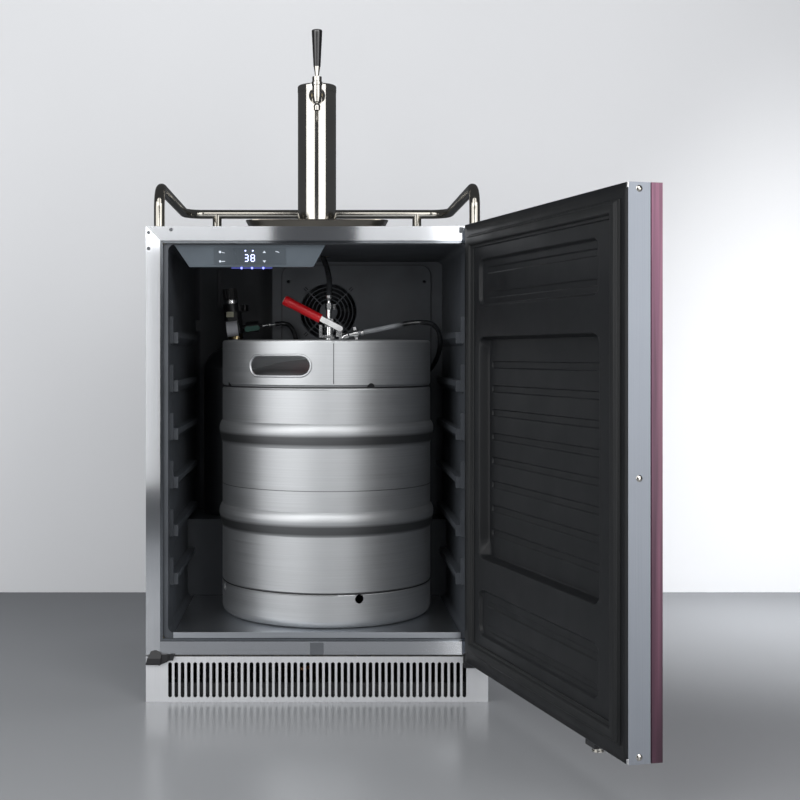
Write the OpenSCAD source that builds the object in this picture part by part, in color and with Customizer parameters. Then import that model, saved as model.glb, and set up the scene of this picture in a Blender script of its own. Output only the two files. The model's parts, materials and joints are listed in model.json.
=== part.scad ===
// Undercounter kegerator with one tap: steel cabinet on a slotted kick plate, panelled door,
// keg, coupler and gas bottle inside, tap tower, drip tray and guard rail on top.
// X runs to the right, Y from the cabinet's front plane to its back, Z up from the floor.

/* [Cabinet] */
// Width of the cabinet
cab_w = 600; // [596:1:610]
// Height of the cabinet's top above the floor
cab_h = 834; // [830:1:840]
// Depth of the cabinet behind its front plane
cab_d = 575; // [575:1:590]
// Thickness of the outer steel sheet
sheet = 1.5; // [1:0.1:2]
// Width of the steel frame's members round the opening
frame_w = 25; // [22:1:26]
// Height of the slotted kick plate
kick_h = 79.5; // [76:0.5:80]

/* [Inside] */
// Inside width of the cabinet
room_w = 524; // [520:1:526]
// Height of the ceiling above the floor
room_top = 803; // [800:1:804]
// Height of the cabinet's own floor above the room's floor
room_floor = 121; // [120:1:122]
// Distance from the front plane to the inner back wall
room_back = 540; // [539:1:540]
// Height of the step over the compressor
step_h = 275; // [272:1:276]
// Distance from the front plane to the step
step_y = 360; // [356:1:364]

/* [Door] */
// Width of the door
door_w = 594; // [590:1:596]
// Height of the door's lower edge above the floor
door_low = 76; // [75.9:0.1:78]
// Thickness of the door's steel pan
pan_t = 32; // [31:1:33]
// Thickness of the wooden panel on the door
panel_t = 16; // [14:1:18]
// Angle the door stands open at rest, measured from closed
door_open = 104.3; // [90:0.1:108]

/* [Keg] */
// Outside radius of the keg's wall
keg_r = 199; // [196:1:200]
// Height of the keg
keg_h = 515; // [510:1:516]
// Sideways place of the keg's axis
keg_x = 18; // [14:1:19]
// Distance of the keg's axis from the front plane
keg_y = 224; // [222:1:225]

/* [Tower] */
// Outside radius of the tap tower
tower_r = 38.1; // [38:0.1:40]
// Height of the tower column above the cabinet
tower_h = 295; // [290:1:300]
// Distance of the tower's axis from the front plane
tower_y = 317; // [316:1:320]

/* [Rail] */
// Radius of the guard rail's tube
rail_r = 9.5; // [8:0.5:10]
// Height of the rail's axis above the cabinet
rail_h = 74; // [70:1:80]

/* [Hidden] */
$fn = 48;
eps = 0.01;
big = 1000;

// Cabinet
hw = cab_w / 2;
rw = room_w / 2;
skin = 2;
frame_y = 12;
frame_low = 82.8;
lip_w = 4.5;
seam = 0.4;
relief_r = 215;
wall_foam = 30;
tower_hole_r = 28;
back_in = cab_d - sheet;

// Door hinge axis and the door's layers, for the closed door
hinge_x = 281.7;
hinge_y = -31.5;
pin_r = 4;
door_in = -10;
door_out = door_in - pan_t;
backing_t = 1.6;
backing_in = 4;
gasket_in = 18;
gasket_w = 26;
door_sheet = 1.2;
edge_in = 0.8;
flange_t = 0.8;
pocket_l = door_w / 2 - 508;
pocket_r = door_w / 2 - 67;
tall_pocket = 18;
small_pocket = 6;
channel = 2.5;

// Keg levels
keg_z = room_floor;
keg_top = keg_z + keg_h;
chime_z = keg_z + 429;
hoop_zs = [keg_z + 185, keg_z + 342.5];
foot_seam = keg_z + 62;
slot_turn = -26.5;

// Coupler
cx = keg_x + 5;
cy = keg_y;
arm_z = 669.6;
arm_tilt = 27.3;

// Gas bottle and regulator
gx = -171.5;
gy = 470;
bottle_r = 66.5;
reg_y = 405;
reg_z = 671.4;
reg_tilt = 7;
valve_w = -10;
lever_u = 28;
lever_w = -14;

// Tap
tap_z = 1116;
tap_y = 243;
tap_pivot = 1145;

// Middle of the drip tray
tray_y = 175;

// Fans
fan_x = 24;
fan_z = 698;
cfan_x = -150;
cfan_z = 42;

// Points along the middle of the hoses
beer_route = [[23, 224, 712], [23, 225, 726], [24, 234, 742], [23, 252, 760], [19, 280, 781],
    [12, 304, 803], [7, 318, 830], [3, 324, 862], [0, 325, 900], [0, 325, 960], [0, 325, 1020],
    [0, 325, 1084]];
gas_route = [[80, 224, 650], [96, 224, 653], [122, 223, 658], [150, 222, 664], [176, 222, 669],
    [202, 223, 671], [222, 226, 667], [234, 234, 655], [239, 246, 636], [238, 266, 613],
    [231, 296, 590], [216, 332, 568], [193, 368, 548], [160, 397, 532], [120, 418, 520],
    [75, 427, 514], [30, 429, 512], [-5, 429, 515], [-31, 429, 527], [-43, 428, 552],
    [-45, 426, 588], [-43, 423, 624], [-46, 417, 650], [-56, 410, 668], [-70, 405, 673],
    [-86, 405, 671.8]];
hot_route = [[132, 492, 120], [112, 494, 108], [104, 496, 80], [92, 490, 48], [50, 466, 30],
    [0, 420, 26], [-16, 340, 26], [-20, 240, 26], [-18, 160, 30], [-12, 112, 38], [-16, 80, 41],
    [-31, 68, 41.5]];
cold_route = [[150, 478, 146], [132, 464, 160], [124, 464, 180], [96, 478, 198], [44, 506, 206],
    [8, 528, 216], [0, 532, 250]];
beer_r = 5.5;
gas_r = 4.7;
copper_r = 4;

// ---- Shared shapes ----

module box(lo, hi) {
    translate(lo) cube(hi - lo);
}

module rod(p, q, r) {
    d = q - p;
    translate(p) rotate([0, acos(d[2] / norm(d)), atan2(d[1], d[0])]) cylinder(h = norm(d), r = r);
}

module pipe(p, q, r, bore) {
    u = (q - p) / norm(q - p);
    difference() {
        rod(p, q, r);
        rod(p - u, q + u, bore);
    }
}

module rounded_rect(w, h, r) {
    square([w - 2 * r, h], center = true);
    square([w, h - 2 * r], center = true);
    for (sx = [-1, 1], sy = [-1, 1])
        translate([sx * (w / 2 - r), sy * (h / 2 - r)]) circle(r);
}

// An upright plate facing the front, from y0 to y1, whose outline is its children
module upright(y0, y1) {
    translate([0, y1, 0]) rotate([90, 0, 0]) linear_extrude(y1 - y0) children();
}

module rounded_plate(x0, x1, z0, z1, r, y0, y1) {
    upright(y0, y1) translate([(x0 + x1) / 2, (z0 + z1) / 2]) rounded_rect(x1 - x0, z1 - z0, r);
}

// A button-head screw whose head points along -Y
module screw_head(x, y, z, r) {
    difference() {
        translate([x, y, z]) rotate([90, 0, 0]) rotate_extrude() intersection() {
            translate([0, -r * 0.9]) circle(r * 1.35);
            square([r, r]);
        }
        translate([x, y - r * 0.2, z]) rotate([90, 0, 0]) cylinder(h = r, r = r * 0.4, $fn = 6);
    }
}

function blend_point(a, b, c, d, u) =
    0.5 * (2 * b + (c - a) * u + (2 * a - 5 * b + 4 * c - d) * u * u
        + (3 * b - a - 3 * c + d) * u * u * u);

// A smooth line through the route's points, with the given number of steps between two of them
function smooth(route, steps) =
    let (last = len(route) - 1)
    [for (i = [0:last - 1], k = [0:steps - 1])
        blend_point(route[max(i - 1, 0)], route[i], route[i + 1], route[min(i + 2, last)], k / steps),
        route[last]];

function unit(v) = v / norm(v);

function tangents(line) =
    let (last = len(line) - 1)
    [for (i = [0:last]) unit(line[min(i + 1, last)] - line[max(i - 1, 0)])];

function across(n, t) = unit(n - (n * t) * t);

function normals(ts, i, found) =
    i == len(ts) ? found : normals(ts, i + 1, concat(found, [across(found[i - 1], ts[i])]));

module hose(route, r, sides, steps) {
    line = smooth(route, steps);
    ts = tangents(line);
    ns = normals(ts, 1, [across([0.1, 1, 0.2], ts[0])]);
    rings = len(line);
    points = [for (i = [0:rings - 1], k = [0:sides - 1])
        line[i] + r * (cos(360 * k / sides) * ns[i]
            + sin(360 * k / sides) * cross(ts[i], ns[i]))];
    sides_of = [for (i = [0:rings - 2], k = [0:sides - 1])
        let (a = i * sides + k, b = i * sides + (k + 1) % sides)
        [a, a + sides, b + sides, b]];
    first = [for (k = [0:sides - 1]) k];
    last = [for (k = [sides - 1:-1:0]) (rings - 1) * sides + k];
    polyhedron(points, concat(sides_of, [first, last]), convexity = 6);
}

// ---- Cabinet ----

module side_panels() {
    color("silver")
    for (s = [-1, 1])
        box([s > 0 ? hw - sheet : -hw, frame_y, 4], [s > 0 ? hw : sheet - hw, back_in, cab_h - sheet]);
}

module top_panel() {
    color("silver")
    difference() {
        box([-hw, frame_y, cab_h - sheet], [hw, cab_d, cab_h]);
        translate([0, tower_y, cab_h - 5]) cylinder(h = 10, r = tower_hole_r);
    }
}

module back_panel() {
    color("silver")
    difference() {
        box([-hw, back_in, 4], [hw, cab_d, cab_h - sheet - seam]);
        for (i = [0:6], s = [-1, 1])
            rounded_plate(s * 110 - 70, s * 110 + 70, 110 + 18 * i, 116 + 18 * i, 2.9, back_in - 5, cab_d + 5);
        box([-246, back_in - 5, 40], [-206, cab_d + 5, 70]);
    }
}

// The room inside the liner, grown by g on every side, with the compressor step left out of it
module room(g, front) {
    difference() {
        rounded_plate(-rw - g, rw + g, room_floor - skin - g, room_top + g, 12 + g, front, room_back + g);
        difference() {
            box([-hw, step_y + g, 0], [hw, cab_d, step_h - g]);
            translate([keg_x, keg_y, 0]) cylinder(h = step_h + 5, r = relief_r + g);
        }
    }
}

module inner_liner() {
    low = frame_low + frame_w - 1.8 + lip_w;
    color([0.09, 0.1, 0.11])
    difference() {
        union() {
            room(skin, frame_y - 2);
            rounded_plate(-hw + frame_w + lip_w, hw - frame_w - lip_w, low,
                cab_h - frame_w - lip_w, 6, frame_y - 4, frame_y - 2);
        }
        room(0, -20);
        translate([0, tower_y, room_top - 5]) cylinder(h = 20, r = tower_hole_r);
    }
}

module insulation() {
    g = skin + seam;
    low = room_floor - skin - g;
    side = rw + g;
    roof = cab_h - sheet - seam;
    color([0.93, 0.88, 0.7]) {
        for (s = [-1, 1])
            box([s > 0 ? side : seam + sheet - hw, frame_y + seam, frame_low],
                [s > 0 ? hw - sheet - seam : -side, back_in - seam, roof]);
        for (s = [-1, 1])
            box([s > 0 ? tower_hole_r : seam - side, frame_y + seam, room_top + g],
                [s > 0 ? side - seam : -tower_hole_r, back_in - seam, roof]);
        box([seam - tower_hole_r, frame_y + seam, room_top + g],
            [tower_hole_r - seam, tower_y - tower_hole_r, roof]);
        box([seam - tower_hole_r, tower_y + tower_hole_r, room_top + g],
            [tower_hole_r - seam, back_in - seam, roof]);
        box([-side + seam, room_back + g, step_h - wall_foam],
            [side - seam, back_in - seam, room_top + g - seam]);
        box([-side + seam, frame_y + seam, frame_low], [side - seam, step_y - seam, low]);
        difference() {
            box([-side + seam, step_y + g, frame_low], [side - seam, room_back + g - seam, step_h - g]);
            translate([keg_x, keg_y, low]) cylinder(h = 300, r = relief_r + g);
            difference() {
                box([-hw, step_y + wall_foam, 0], [hw, cab_d, step_h - wall_foam]);
                translate([keg_x, keg_y, 0]) cylinder(h = 300, r = relief_r + wall_foam);
            }
        }
    }
}

// Moulded ledges on both walls, each with an upright stop at its front end
module shelf_supports() {
    color([0.12, 0.13, 0.14])
    for (s = [-1, 1], i = [0:5]) {
        z = 643 - 86 * i;
        length = z < step_h ? 305 : 370;
        mirror([s > 0 ? 1 : 0, 0, 0]) {
            translate([-rw, 50 + length, z]) rotate([90, 0, 0])
                linear_extrude(length) polygon([[0, -18], [14, -4], [14, 6], [0, 6]]);
            box([-rw, 42, z - 14], [-rw + 14, 50 - seam, z + 6]);
            box([-rw, 36, z - 14], [-rw + 6, 42 - seam, z + 34]);
        }
    }
}

// Uprights run to the foot of the frame; only the upper corners are mitred
module front_frame() {
    side = hw - frame_w;
    low = frame_low + frame_w - 1.8;
    top = cab_h - frame_w;
    gap = 0.15;
    lip_back = frame_y - 4 - seam;
    color("silver") {
        for (s = [-1, 1]) mirror([s > 0 ? 1 : 0, 0, 0]) {
            upright(0, frame_y)
                polygon([[-hw, frame_low], [-side, frame_low], [-side, top - gap], [-hw, cab_h - gap]]);
            upright(3, lip_back)
                polygon([[-side, low + gap], [lip_w - side, low + gap],
                    [lip_w - side, top - lip_w - gap], [-side, top - gap]]);
        }
        upright(0, frame_y)
            polygon([[gap - hw, cab_h], [gap - side, top], [side - gap, top], [hw - gap, cab_h]]);
        upright(3, lip_back)
            polygon([[gap - side, top], [gap + lip_w - side, top - lip_w],
                [side - lip_w - gap, top - lip_w], [side - gap, top]]);
        box([gap - side, 0, frame_low], [side - gap, frame_y, low]);
        box([gap + lip_w - side, 3, low], [side - lip_w - gap, lip_back, low + lip_w]);
    }
}

module floor_plate() {
    color([0.35, 0.37, 0.4]) {
        translate([0, 0, room_floor - skin]) linear_extrude(skin) {
            translate([12.5 - rw, 16]) square([room_w - 25, step_y - 18]);
            intersection() {
                translate([keg_x, keg_y]) circle(relief_r - 2);
                translate([12.5 - rw, step_y - 4]) square([room_w - 25, 200]);
            }
        }
        box([-252.6, 6, room_floor - 10], [252.6, 7.6, room_floor]);
        box([12.5 - rw, 7.6, room_floor - skin], [rw - 12.5, 16, room_floor]);
    }
}

// Front plate of the base with its row of upright slots
module kick_plate() {
    slots = 48;
    pitch = 10.98;
    slot_w = 6.6;
    low = 8;
    top = 69.6;
    color("silver") {
        difference() {
            box([-hw, 0, 0], [hw, sheet, kick_h]);
            upright(-1, sheet + 1)
                for (i = [0:slots - 1])
                    translate([0.4 + (i - (slots - 1) / 2) * pitch, (low + top) / 2])
                        rounded_rect(slot_w, top - low, slot_w / 2 - eps);
        }
        box([-hw, sheet, 0], [hw, 22, sheet]);
        box([-hw, sheet, kick_h - sheet], [hw, 11, kick_h]);
    }
}

module base_pan() {
    x = hw - 4;
    color("dimgray") {
        difference() {
            box([-x, 24, 6], [x, back_in - 1, 28]);
            box([sheet - x, 24 + sheet, 6 + sheet], [x - sheet, back_in - 1 - sheet, 30]);
            for (s = [-1, 1], y = [48, 540])
                translate([s * 268, y, 0]) cylinder(h = 20, r = 5.2);
        }
    }
}

module levelling_feet() {
    color([0.15, 0.15, 0.16])
    for (s = [-1, 1], y = [48, 540])
        translate([s * 268, y, 0]) {
            cylinder(h = 3, r = 16);
            cylinder(h = 5.6, r = 11);
            cylinder(h = 34, r = 5);
            translate([0, 0, 7.7]) cylinder(h = 5, r = 9, $fn = 6);
        }
}

module frame_plugs() {
    color([0.3, 0.31, 0.33]) {
        for (p = [[-295.2, 823], [-295.2, 795], [-256, 828]])
            translate([p[0], 0, p[1]]) rotate([90, 0, 0]) cylinder(h = 0.8, r = 2.6);
        rounded_plate(249, 256, 822, 832.6, 1, -1.2, 0);
        rounded_plate(-12.3, 11.6, 83, 104, 1.5, -0.7, 0);
    }
}

module hinge_bracket(x0, x1, z) {
    rounded_plate(x0, x1, z - 6, z + 19, 3, -3, 0);
    box([x0 + 2, -8, z], [x1 - 2, 0, z + 5]);
    for (x = [x0 + 10, x1 - 10])
        screw_head(x, -3, z + 12, 4);
}

// Moulded cover over the unused hinge seat, with a sloping tongue towards the middle
module seat_cover() {
    difference() {
        upright(-9, 0)
            polygon([[-hw, 66], [-296.5, 78], [-291, 89], [-283, 91.5], [-272.6, 86.5], [-274, 66]]);
        translate([-310, -9, 78]) rotate([55, 0, 0]) cube([50, 20, 20]);
        translate([-310, -10, 64]) cube([33, 4, 5]);
    }
    difference() {
        upright(-5, 0) polygon([[-274.5, 66], [-273, 84.3], [-248.6, 83.7], [-252, 73.6], [-256, 73.6]]);
        translate([-262, -6, 60]) rotate([0, 0, 12]) cube([20, 4, 30]);
    }
}

module hinge_brackets() {
    pin_up = 14;
    color([0.1, 0.1, 0.11]) {
        seat_cover();
        difference() {
            hinge_bracket(256, hw, 66);
            box([240, -50, door_low - 0.8], [hw + 5, -3 - eps, 120]);
        }
        translate([0, 0, door_low - 5.8]) linear_extrude(5) {
            translate([hinge_x, hinge_y]) circle(12);
            translate([hinge_x - 12, hinge_y]) square([24, -hinge_y - 2]);
        }
        translate([hinge_x, hinge_y, door_low - 5.8]) cylinder(h = 5.8 + pin_up, r = pin_r);
        translate([0, 0, cab_h + 0.3]) linear_extrude(2.5) {
            translate([hinge_x, hinge_y]) circle(10);
            translate([hinge_x - 10, hinge_y]) square([20, 13 - hinge_y]);
            translate([hinge_x - 20, 1]) square([36, 12]);
        }
        box([hinge_x - 20, 1, cab_h], [hinge_x + 16, 13, cab_h + 0.4]);
        translate([hinge_x, hinge_y, cab_h - pin_up]) cylinder(h = pin_up + 2, r = pin_r);
    }
}

// ---- Controls ----

// The slanted front of the control housing, as an outline seen from its side
module control_outline(proud) {
    polygon([[14 - proud, room_top - 0.3], [20 - proud, 764], [40, 764], [78, room_top - 0.3]]);
}

module control_panel() {
    color([0.27, 0.3, 0.33])
    intersection() {
        translate([-300, 0, 0]) rotate([90, 0, 90]) linear_extrude(400) control_outline(0);
        upright(0, 100) polygon([[-252, room_top], [15, room_top], [-7, 763], [-225, 763]]);
    }
}

module display() {
    color([0.2, 0.22, 0.25])
    intersection() {
        difference() {
            translate([-182, 0, 0]) rotate([90, 0, 90]) linear_extrude(127) control_outline(0.8);
            translate([-300, 0, 0]) rotate([90, 0, 90]) linear_extrude(400) control_outline(0);
        }
        box([-190, 0, 768], [-50, 30, 797]);
    }
}

// ---- Cooling ----

module evaporator_cover() {
    left = -93;
    low = step_h + 0.5;
    y = 440;
    wall = 2.5;
    proud = 4;
    screws = [[-59.7, 761], [224, 761]];
    color([0.14, 0.15, 0.16])
    difference() {
        intersection() {
            union() {
                box([left, y, low], [rw, y + wall, room_top]);
                box([left, y, low], [left + wall, room_back - 0.5, room_top]);
                rounded_plate(-72.7, 237, 520, 795, 22, y - proud, y);
            }
            rounded_plate(0.5 - rw, rw - 0.5, room_floor, room_top - 0.5, 11.5, 400, room_back);
        }
        translate([fan_x, y - 10, fan_z]) rotate([-90, 0, 0]) cylinder(h = 30, r = 60);
        for (i = [0:5])
            rounded_plate(60, 200, 540 + 9 * i, 544 + 9 * i, 1.9, y - 10, y + 10);
        for (p = screws)
            translate([p[0], y - 10, p[1]]) rotate([-90, 0, 0]) cylinder(h = 20, r = 3.4);
    }
    color([0.05, 0.05, 0.06]) {
        for (r = [18:8.2:60])
            translate([fan_x, y - 1, fan_z]) rotate([90, 0, 0])
                rotate_extrude() translate([r, 0]) circle(1.1, $fn = 24);
        for (a = [45, 135])
            translate([fan_x, y - 1, fan_z]) rotate([0, a, 0])
                translate([-60.5, -1.5, -1.1]) cube([121, 3, 2.2]);
        translate([fan_x, y + 0.5, fan_z]) rotate([90, 0, 0]) cylinder(h = 3.5, r = 17);
    }
}

module fan_rotor(x, y, z, r, hub, blades) {
    translate([x, y, z]) {
        rotate([-90, 0, 0]) cylinder(h = 14, r = hub);
        for (i = [0:blades - 1])
            rotate([0, 360 / blades * i, 0]) translate([0, 7, 0]) rotate([0, 0, 28])
                translate([-r * 0.2, -0.9, hub - 2]) cube([r * 0.4, 1.8, r - hub]);
    }
}

module fan_motor(x, y, z, r) {
    difference() {
        translate([x, y, z]) rotate([-90, 0, 0]) cylinder(h = 28, r = r);
        translate([x, y - 1, z]) rotate([-90, 0, 0]) cylinder(h = 14, r = 2.55);
    }
}

module fan_motors() {
    color([0.25, 0.26, 0.28]) {
        fan_motor(fan_x, 478, fan_z, 20);
        box([-89.5, 506, fan_z - 10], [rw - 1, 508, fan_z + 10]);
        fan_motor(cfan_x, 140, cfan_z, 20);
        box([cfan_x - 12, 144, 7.5], [cfan_x + 12, 164, 24]);
    }
}

module evaporator_fan() {
    color([0.16, 0.16, 0.17]) {
        fan_rotor(fan_x, 450, fan_z, 54, 15, 7);
        rod([fan_x, 463, fan_z], [fan_x, 489, fan_z], 2.5);
    }
}

module condenser_fan() {
    color([0.16, 0.16, 0.17]) {
        fan_rotor(cfan_x, 114, cfan_z, 30, 10, 5);
        rod([cfan_x, 127, cfan_z], [cfan_x, 151, cfan_z], 2.5);
    }
}

module fin_block(x0, x1, y0, y1, z0, z1, fins, tubes) {
    step = (x1 - x0) / (fins - 1);
    for (i = [0:fins - 1])
        box([x0 + i * step - 0.5, y0, z0], [x0 + i * step + 0.5, y1, z1]);
    for (k = [0:tubes - 1]) {
        z = z0 + (z1 - z0) * (k + 0.5) / tubes;
        rod([x0 - 6, (y0 + y1) / 2, z], [x1 + 6, (y0 + y1) / 2, z], 4);
    }
}

module evaporator_coil() {
    color([0.75, 0.77, 0.8]) fin_block(-60, 225, 506, 534, 320, 640, 30, 6);
}

module condenser_coil() {
    color([0.2, 0.2, 0.2]) fin_block(-250, -37, 40, 96, 9, 74, 24, 3);
}

module compressor() {
    x = 190;
    y = 490;
    color([0.07, 0.07, 0.08]) {
        translate([x, y, 22]) {
            cylinder(h = 130, r = 62);
            translate([0, 0, 130]) rotate_extrude() intersection() {
                translate([0, -18]) circle(64.56);
                square([62, 60]);
            }
            translate([0, 0, 60]) cylinder(h = 5, r = 64.5);
        }
        box([x - 70, y - 66, 15], [x + 70, y + 66, 22 + eps]);
        for (sx = [-1, 1], sy = [-1, 1])
            translate([x + sx * 58, y + sy * 56, 7.5]) cylinder(h = 8, r = 8);
        box([x + 58, y - 20, 70], [x + 74, y + 20, 120]);
    }
}

module refrigerant_lines() {
    color([0.72, 0.4, 0.25]) {
        hose(hot_route, copper_r, 8, 2);
        hose(cold_route, copper_r, 8, 2);
    }
}

module power_inlet() {
    color([0.08, 0.08, 0.09]) {
        difference() {
            box([-245, back_in - 24, 41], [-207, cab_d + 1.5, 69]);
            box([-241, back_in - 20, 45], [-211, cab_d + 5, 65]);
        }
        for (x = [-234, -226, -218])
            box([x - 1, back_in - 22, x == -226 ? 58 : 50], [x + 1, cab_d - 4, x == -226 ? 62 : 54]);
    }
}

// ---- Guard rail, tray and tower ----

module bend(radius, turn) {
    rotate_extrude(angle = turn) translate([radius, 0]) circle(rail_r);
}

module guard_rail() {
    x = 280;
    front = 30;
    back = 500;
    radius = 40;
    z = cab_h + rail_h;
    color("silver") {
        for (s = [-1, 1]) mirror([s > 0 ? 0 : 1, 0, 0]) {
            rod([x, front, cab_h], [x, front, z - radius], rail_r);
            translate([x, front + radius, z - radius]) rotate([90, 0, 90]) rotate([0, 0, 90]) bend(radius, 90);
            rod([x, front + radius, z], [x, back - radius, z], rail_r);
            translate([x - radius, back - radius, z]) bend(radius, 90);
            rod([213, back, cab_h], [213, back, z], rail_r);
            for (p = [[x, front], [213, back]])
                translate([p[0], p[1], cab_h]) cylinder(h = 1, r = 12);
        }
        rod([radius - x, back, z], [x - radius, back, z], rail_r);
    }
}

// Solid inside the tray's sloping walls, between two heights above the cabinet
module tray_shell(grow, low, high) {
    edge = 0.1;
    round = 26 + grow;
    translate([0, tray_y, cab_h]) hull() {
        translate([0, 0, low]) linear_extrude(edge)
            rounded_rect(222 + 2 * grow, 130 + 2 * grow, round);
        translate([0, 0, high - edge]) linear_extrude(edge)
            rounded_rect(254 + 2 * grow, 160 + 2 * grow, round);
    }
}

module drip_tray() {
    color("silver")
    difference() {
        union() {
            tray_shell(0, 0.3, 21);
            translate([0, tray_y, cab_h + 20.4]) linear_extrude(1.6) rounded_rect(262, 168, 26);
        }
        tray_shell(-sheet, 0.3 + sheet, 23);
    }
}

// Slotted plate standing in the tray on two cross bars
module drip_grid() {
    color("silver") {
        difference() {
            translate([0, tray_y, cab_h + 13]) linear_extrude(1.5) rounded_rect(232, 138, 22);
            for (i = [-6:6], s = [-1, 1])
                translate([i * 17, tray_y + s * 33, cab_h + 10]) linear_extrude(8)
                    rounded_rect(6, 54, 2.9);
        }
        for (s = [-1, 1])
            box([s * 90 - 3, tray_y - 62, cab_h + 1.9], [s * 90 + 3, tray_y + 62, cab_h + 13 - 2 * eps]);
    }
}

module tower_column() {
    color("silver")
    translate([0, tower_y, cab_h])
    difference() {
        union() {
            cylinder(h = tower_h, r = tower_r);
            cylinder(h = 5, r = 56);
            rotate_extrude() intersection() {
                translate([tower_r, 5]) circle(6);
                translate([tower_r - 2, 5]) square([9, 7]);
            }
            for (a = [45:90:315])
                translate([46 * cos(a), 46 * sin(a), 5 - eps]) cylinder(h = 3, r = 4.5);
        }
        translate([0, 0, -1]) cylinder(h = tower_h + 5, r = tower_r - sheet);
        translate([0, 0, tap_z - cab_h]) rotate([90, 0, 0]) cylinder(h = 60, r = 10.6);
    }
}

module tower_cap() {
    z = cab_h + tower_h + 0.2;
    color("silver")
    translate([0, tower_y, z]) {
        cylinder(h = 1.6, r = tower_r - 0.4);
        translate([0, 0, 1.6]) rotate_extrude() {
            square([tower_r - 2.5, 13.2]);
            square([tower_r + 0.4, 10.3]);
            translate([tower_r - 2.5, 10.3]) circle(2.9);
        }
        for (a = [0, 90, 180])
            rotate([0, 0, a]) translate([32, -6, -8]) cube([4, 12, 9]);
    }
}

module faucet_shank() {
    color([0.8, 0.8, 0.78]) {
        pipe([0, 262, tap_z], [0, 322, tap_z], 10.5, 4);
        translate([0, 292.5, tap_z]) rotate([90, 0, 0]) difference() {
            cylinder(h = 8, r = 15, $fn = 6);
            translate([0, 0, -1]) cylinder(h = 10, r = 10.5 - eps);
        }
        rod([0, 322 - eps, tap_z], [0, 330, tap_z], 7);
        rod([0, 325, tap_z], [0, 325, 1094], 5.5);
        rod([0, 325, 1094 + eps], [0, 325, 1074], 3.6);
    }
}

// Tap with its collar, barrel, bonnet and curved spout
module faucet_body() {
    tip_y = tap_y - 28;
    color("silver") {
        translate([0, 278, tap_z]) rotate([90, 0, 0]) difference() {
            cylinder(h = 11, r = 16);
            translate([0, 0, -1]) cylinder(h = 14, r = 10.6);
        }
        rod([0, 262, tap_z], [0, tap_y, tap_z], 9);
        translate([0, tap_y, 0]) difference() {
            union() {
                translate([0, 0, 1097]) sphere(6.6);
                translate([0, 0, 1097]) cylinder(h = 11, r1 = 6.5, r2 = 9.6);
                translate([0, 0, 1108 - eps]) cylinder(h = 23, r = 9.6);
                translate([0, 0, 1130]) rotate_extrude() {
                    square([9, 8]);
                    translate([9, 1.6]) circle(1.5);
                    translate([9, 6.4]) circle(1.5);
                    translate([0, 1.6]) square([10.5, 4.8]);
                }
                translate([0, 0, 1138 - eps]) cylinder(h = 9, r = 9.2);
            }
            translate([0, 0, 1136]) cylinder(h = 20, r = 6.6);
        }
        difference() {
            union() {
                translate([0, tap_y - 14, 1103]) rotate([0, -90, 0]) rotate([0, 0, 80])
                    rotate_extrude(angle = 74) translate([14, 0]) circle(6);
                rod([0, tap_y - 6, 1091.8], [0, tap_y - 27, 1084.2], 5.9);
                translate([0, tip_y, 1084.5]) sphere(6.6);
                translate([0, tip_y, 1077]) cylinder(h = 8, r = 6.2);
            }
            translate([0, tip_y, 1075]) cylinder(h = 9, r = 4.8);
        }
    }
}

module tap_lever() {
    color("silver")
    translate([0, tap_y, 0]) {
        translate([0, 0, 1140]) cylinder(h = 14, r = 3.3);
        translate([0, 0, tap_pivot]) sphere(5);
        rod([-6.2, 0, tap_pivot], [6.2, 0, tap_pivot], 1.8);
        translate([0, 0, 1150]) cylinder(h = 17, r1 = 3.8, r2 = 6.4);
    }
}

module tap_handle() {
    color([0.05, 0.05, 0.06])
    translate([0, tap_y, 1167]) {
        cylinder(h = 66, r1 = 6.9, r2 = 10.2);
        translate([0, 0, 66]) rotate_extrude() {
            square([8.2, 5]);
            square([10.2, 3]);
            translate([8.2, 3]) circle(2);
        }
    }
}

// ---- Keg ----

module keg_profile(inset) {
    wall_low = foot_seam + 8;
    intersection() {
        translate([0, keg_z + 200]) square([keg_r - 2.5 - inset, 400]);
        translate([0, keg_z - 29]) circle(509 - inset);
    }
    intersection() {
        square([keg_r - 1 - inset, keg_z + 200]);
        translate([0, keg_z + 536.5]) circle(509 - inset);
    }
    translate([0, wall_low + inset]) square([keg_r - inset, chime_z - 1 - wall_low - 2 * inset]);
}

// Rounded recess where the top chime is welded on
module chime_groove() {
    translate([keg_r + 3.6, chime_z]) circle(6);
}

// Rolling hoop: a rounded swell above a crease, with a slope running back in below it
module hoop_profile() {
    intersection() {
        translate([-19, 6]) circle(25);
        translate([-3, 0]) square([20, 25]);
    }
    intersection() {
        translate([-113.6, 16.5]) circle(120);
        translate([-3, -23]) square([20, 23 + eps]);
    }
}

module keg_shell() {
    roll = 15;
    color([0.72, 0.72, 0.7])
    difference() {
        translate([keg_x, keg_y, 0]) rotate_extrude() difference() {
            union() {
                keg_profile(0);
                for (z = hoop_zs)
                    translate([keg_r, z]) hoop_profile();
                translate([keg_r - 3, keg_z + roll]) square([3, foot_seam + 8 - keg_z - roll]);
                intersection() {
                    translate([keg_r - roll, keg_z + roll]) difference() {
                        circle(roll);
                        circle(roll - 3);
                    }
                    translate([keg_r - roll, keg_z - 5]) square([30, roll + 5]);
                }
                translate([keg_r - roll - 14, keg_z]) square([14, 3]);
            }
            keg_profile(2);
            chime_groove();
            translate([keg_r + 1.2, foot_seam]) circle(3);
        }
        translate([cx, cy, 580]) cylinder(h = 40, r = 27);
        for (a = [16.8:90:360])
            translate([keg_x, keg_y, keg_z + 53]) rotate([0, 0, a - 90]) rotate([0, 90, 0])
                translate([0, 0, keg_r - 20]) cylinder(h = 40, r = 8);
    }
}

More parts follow.
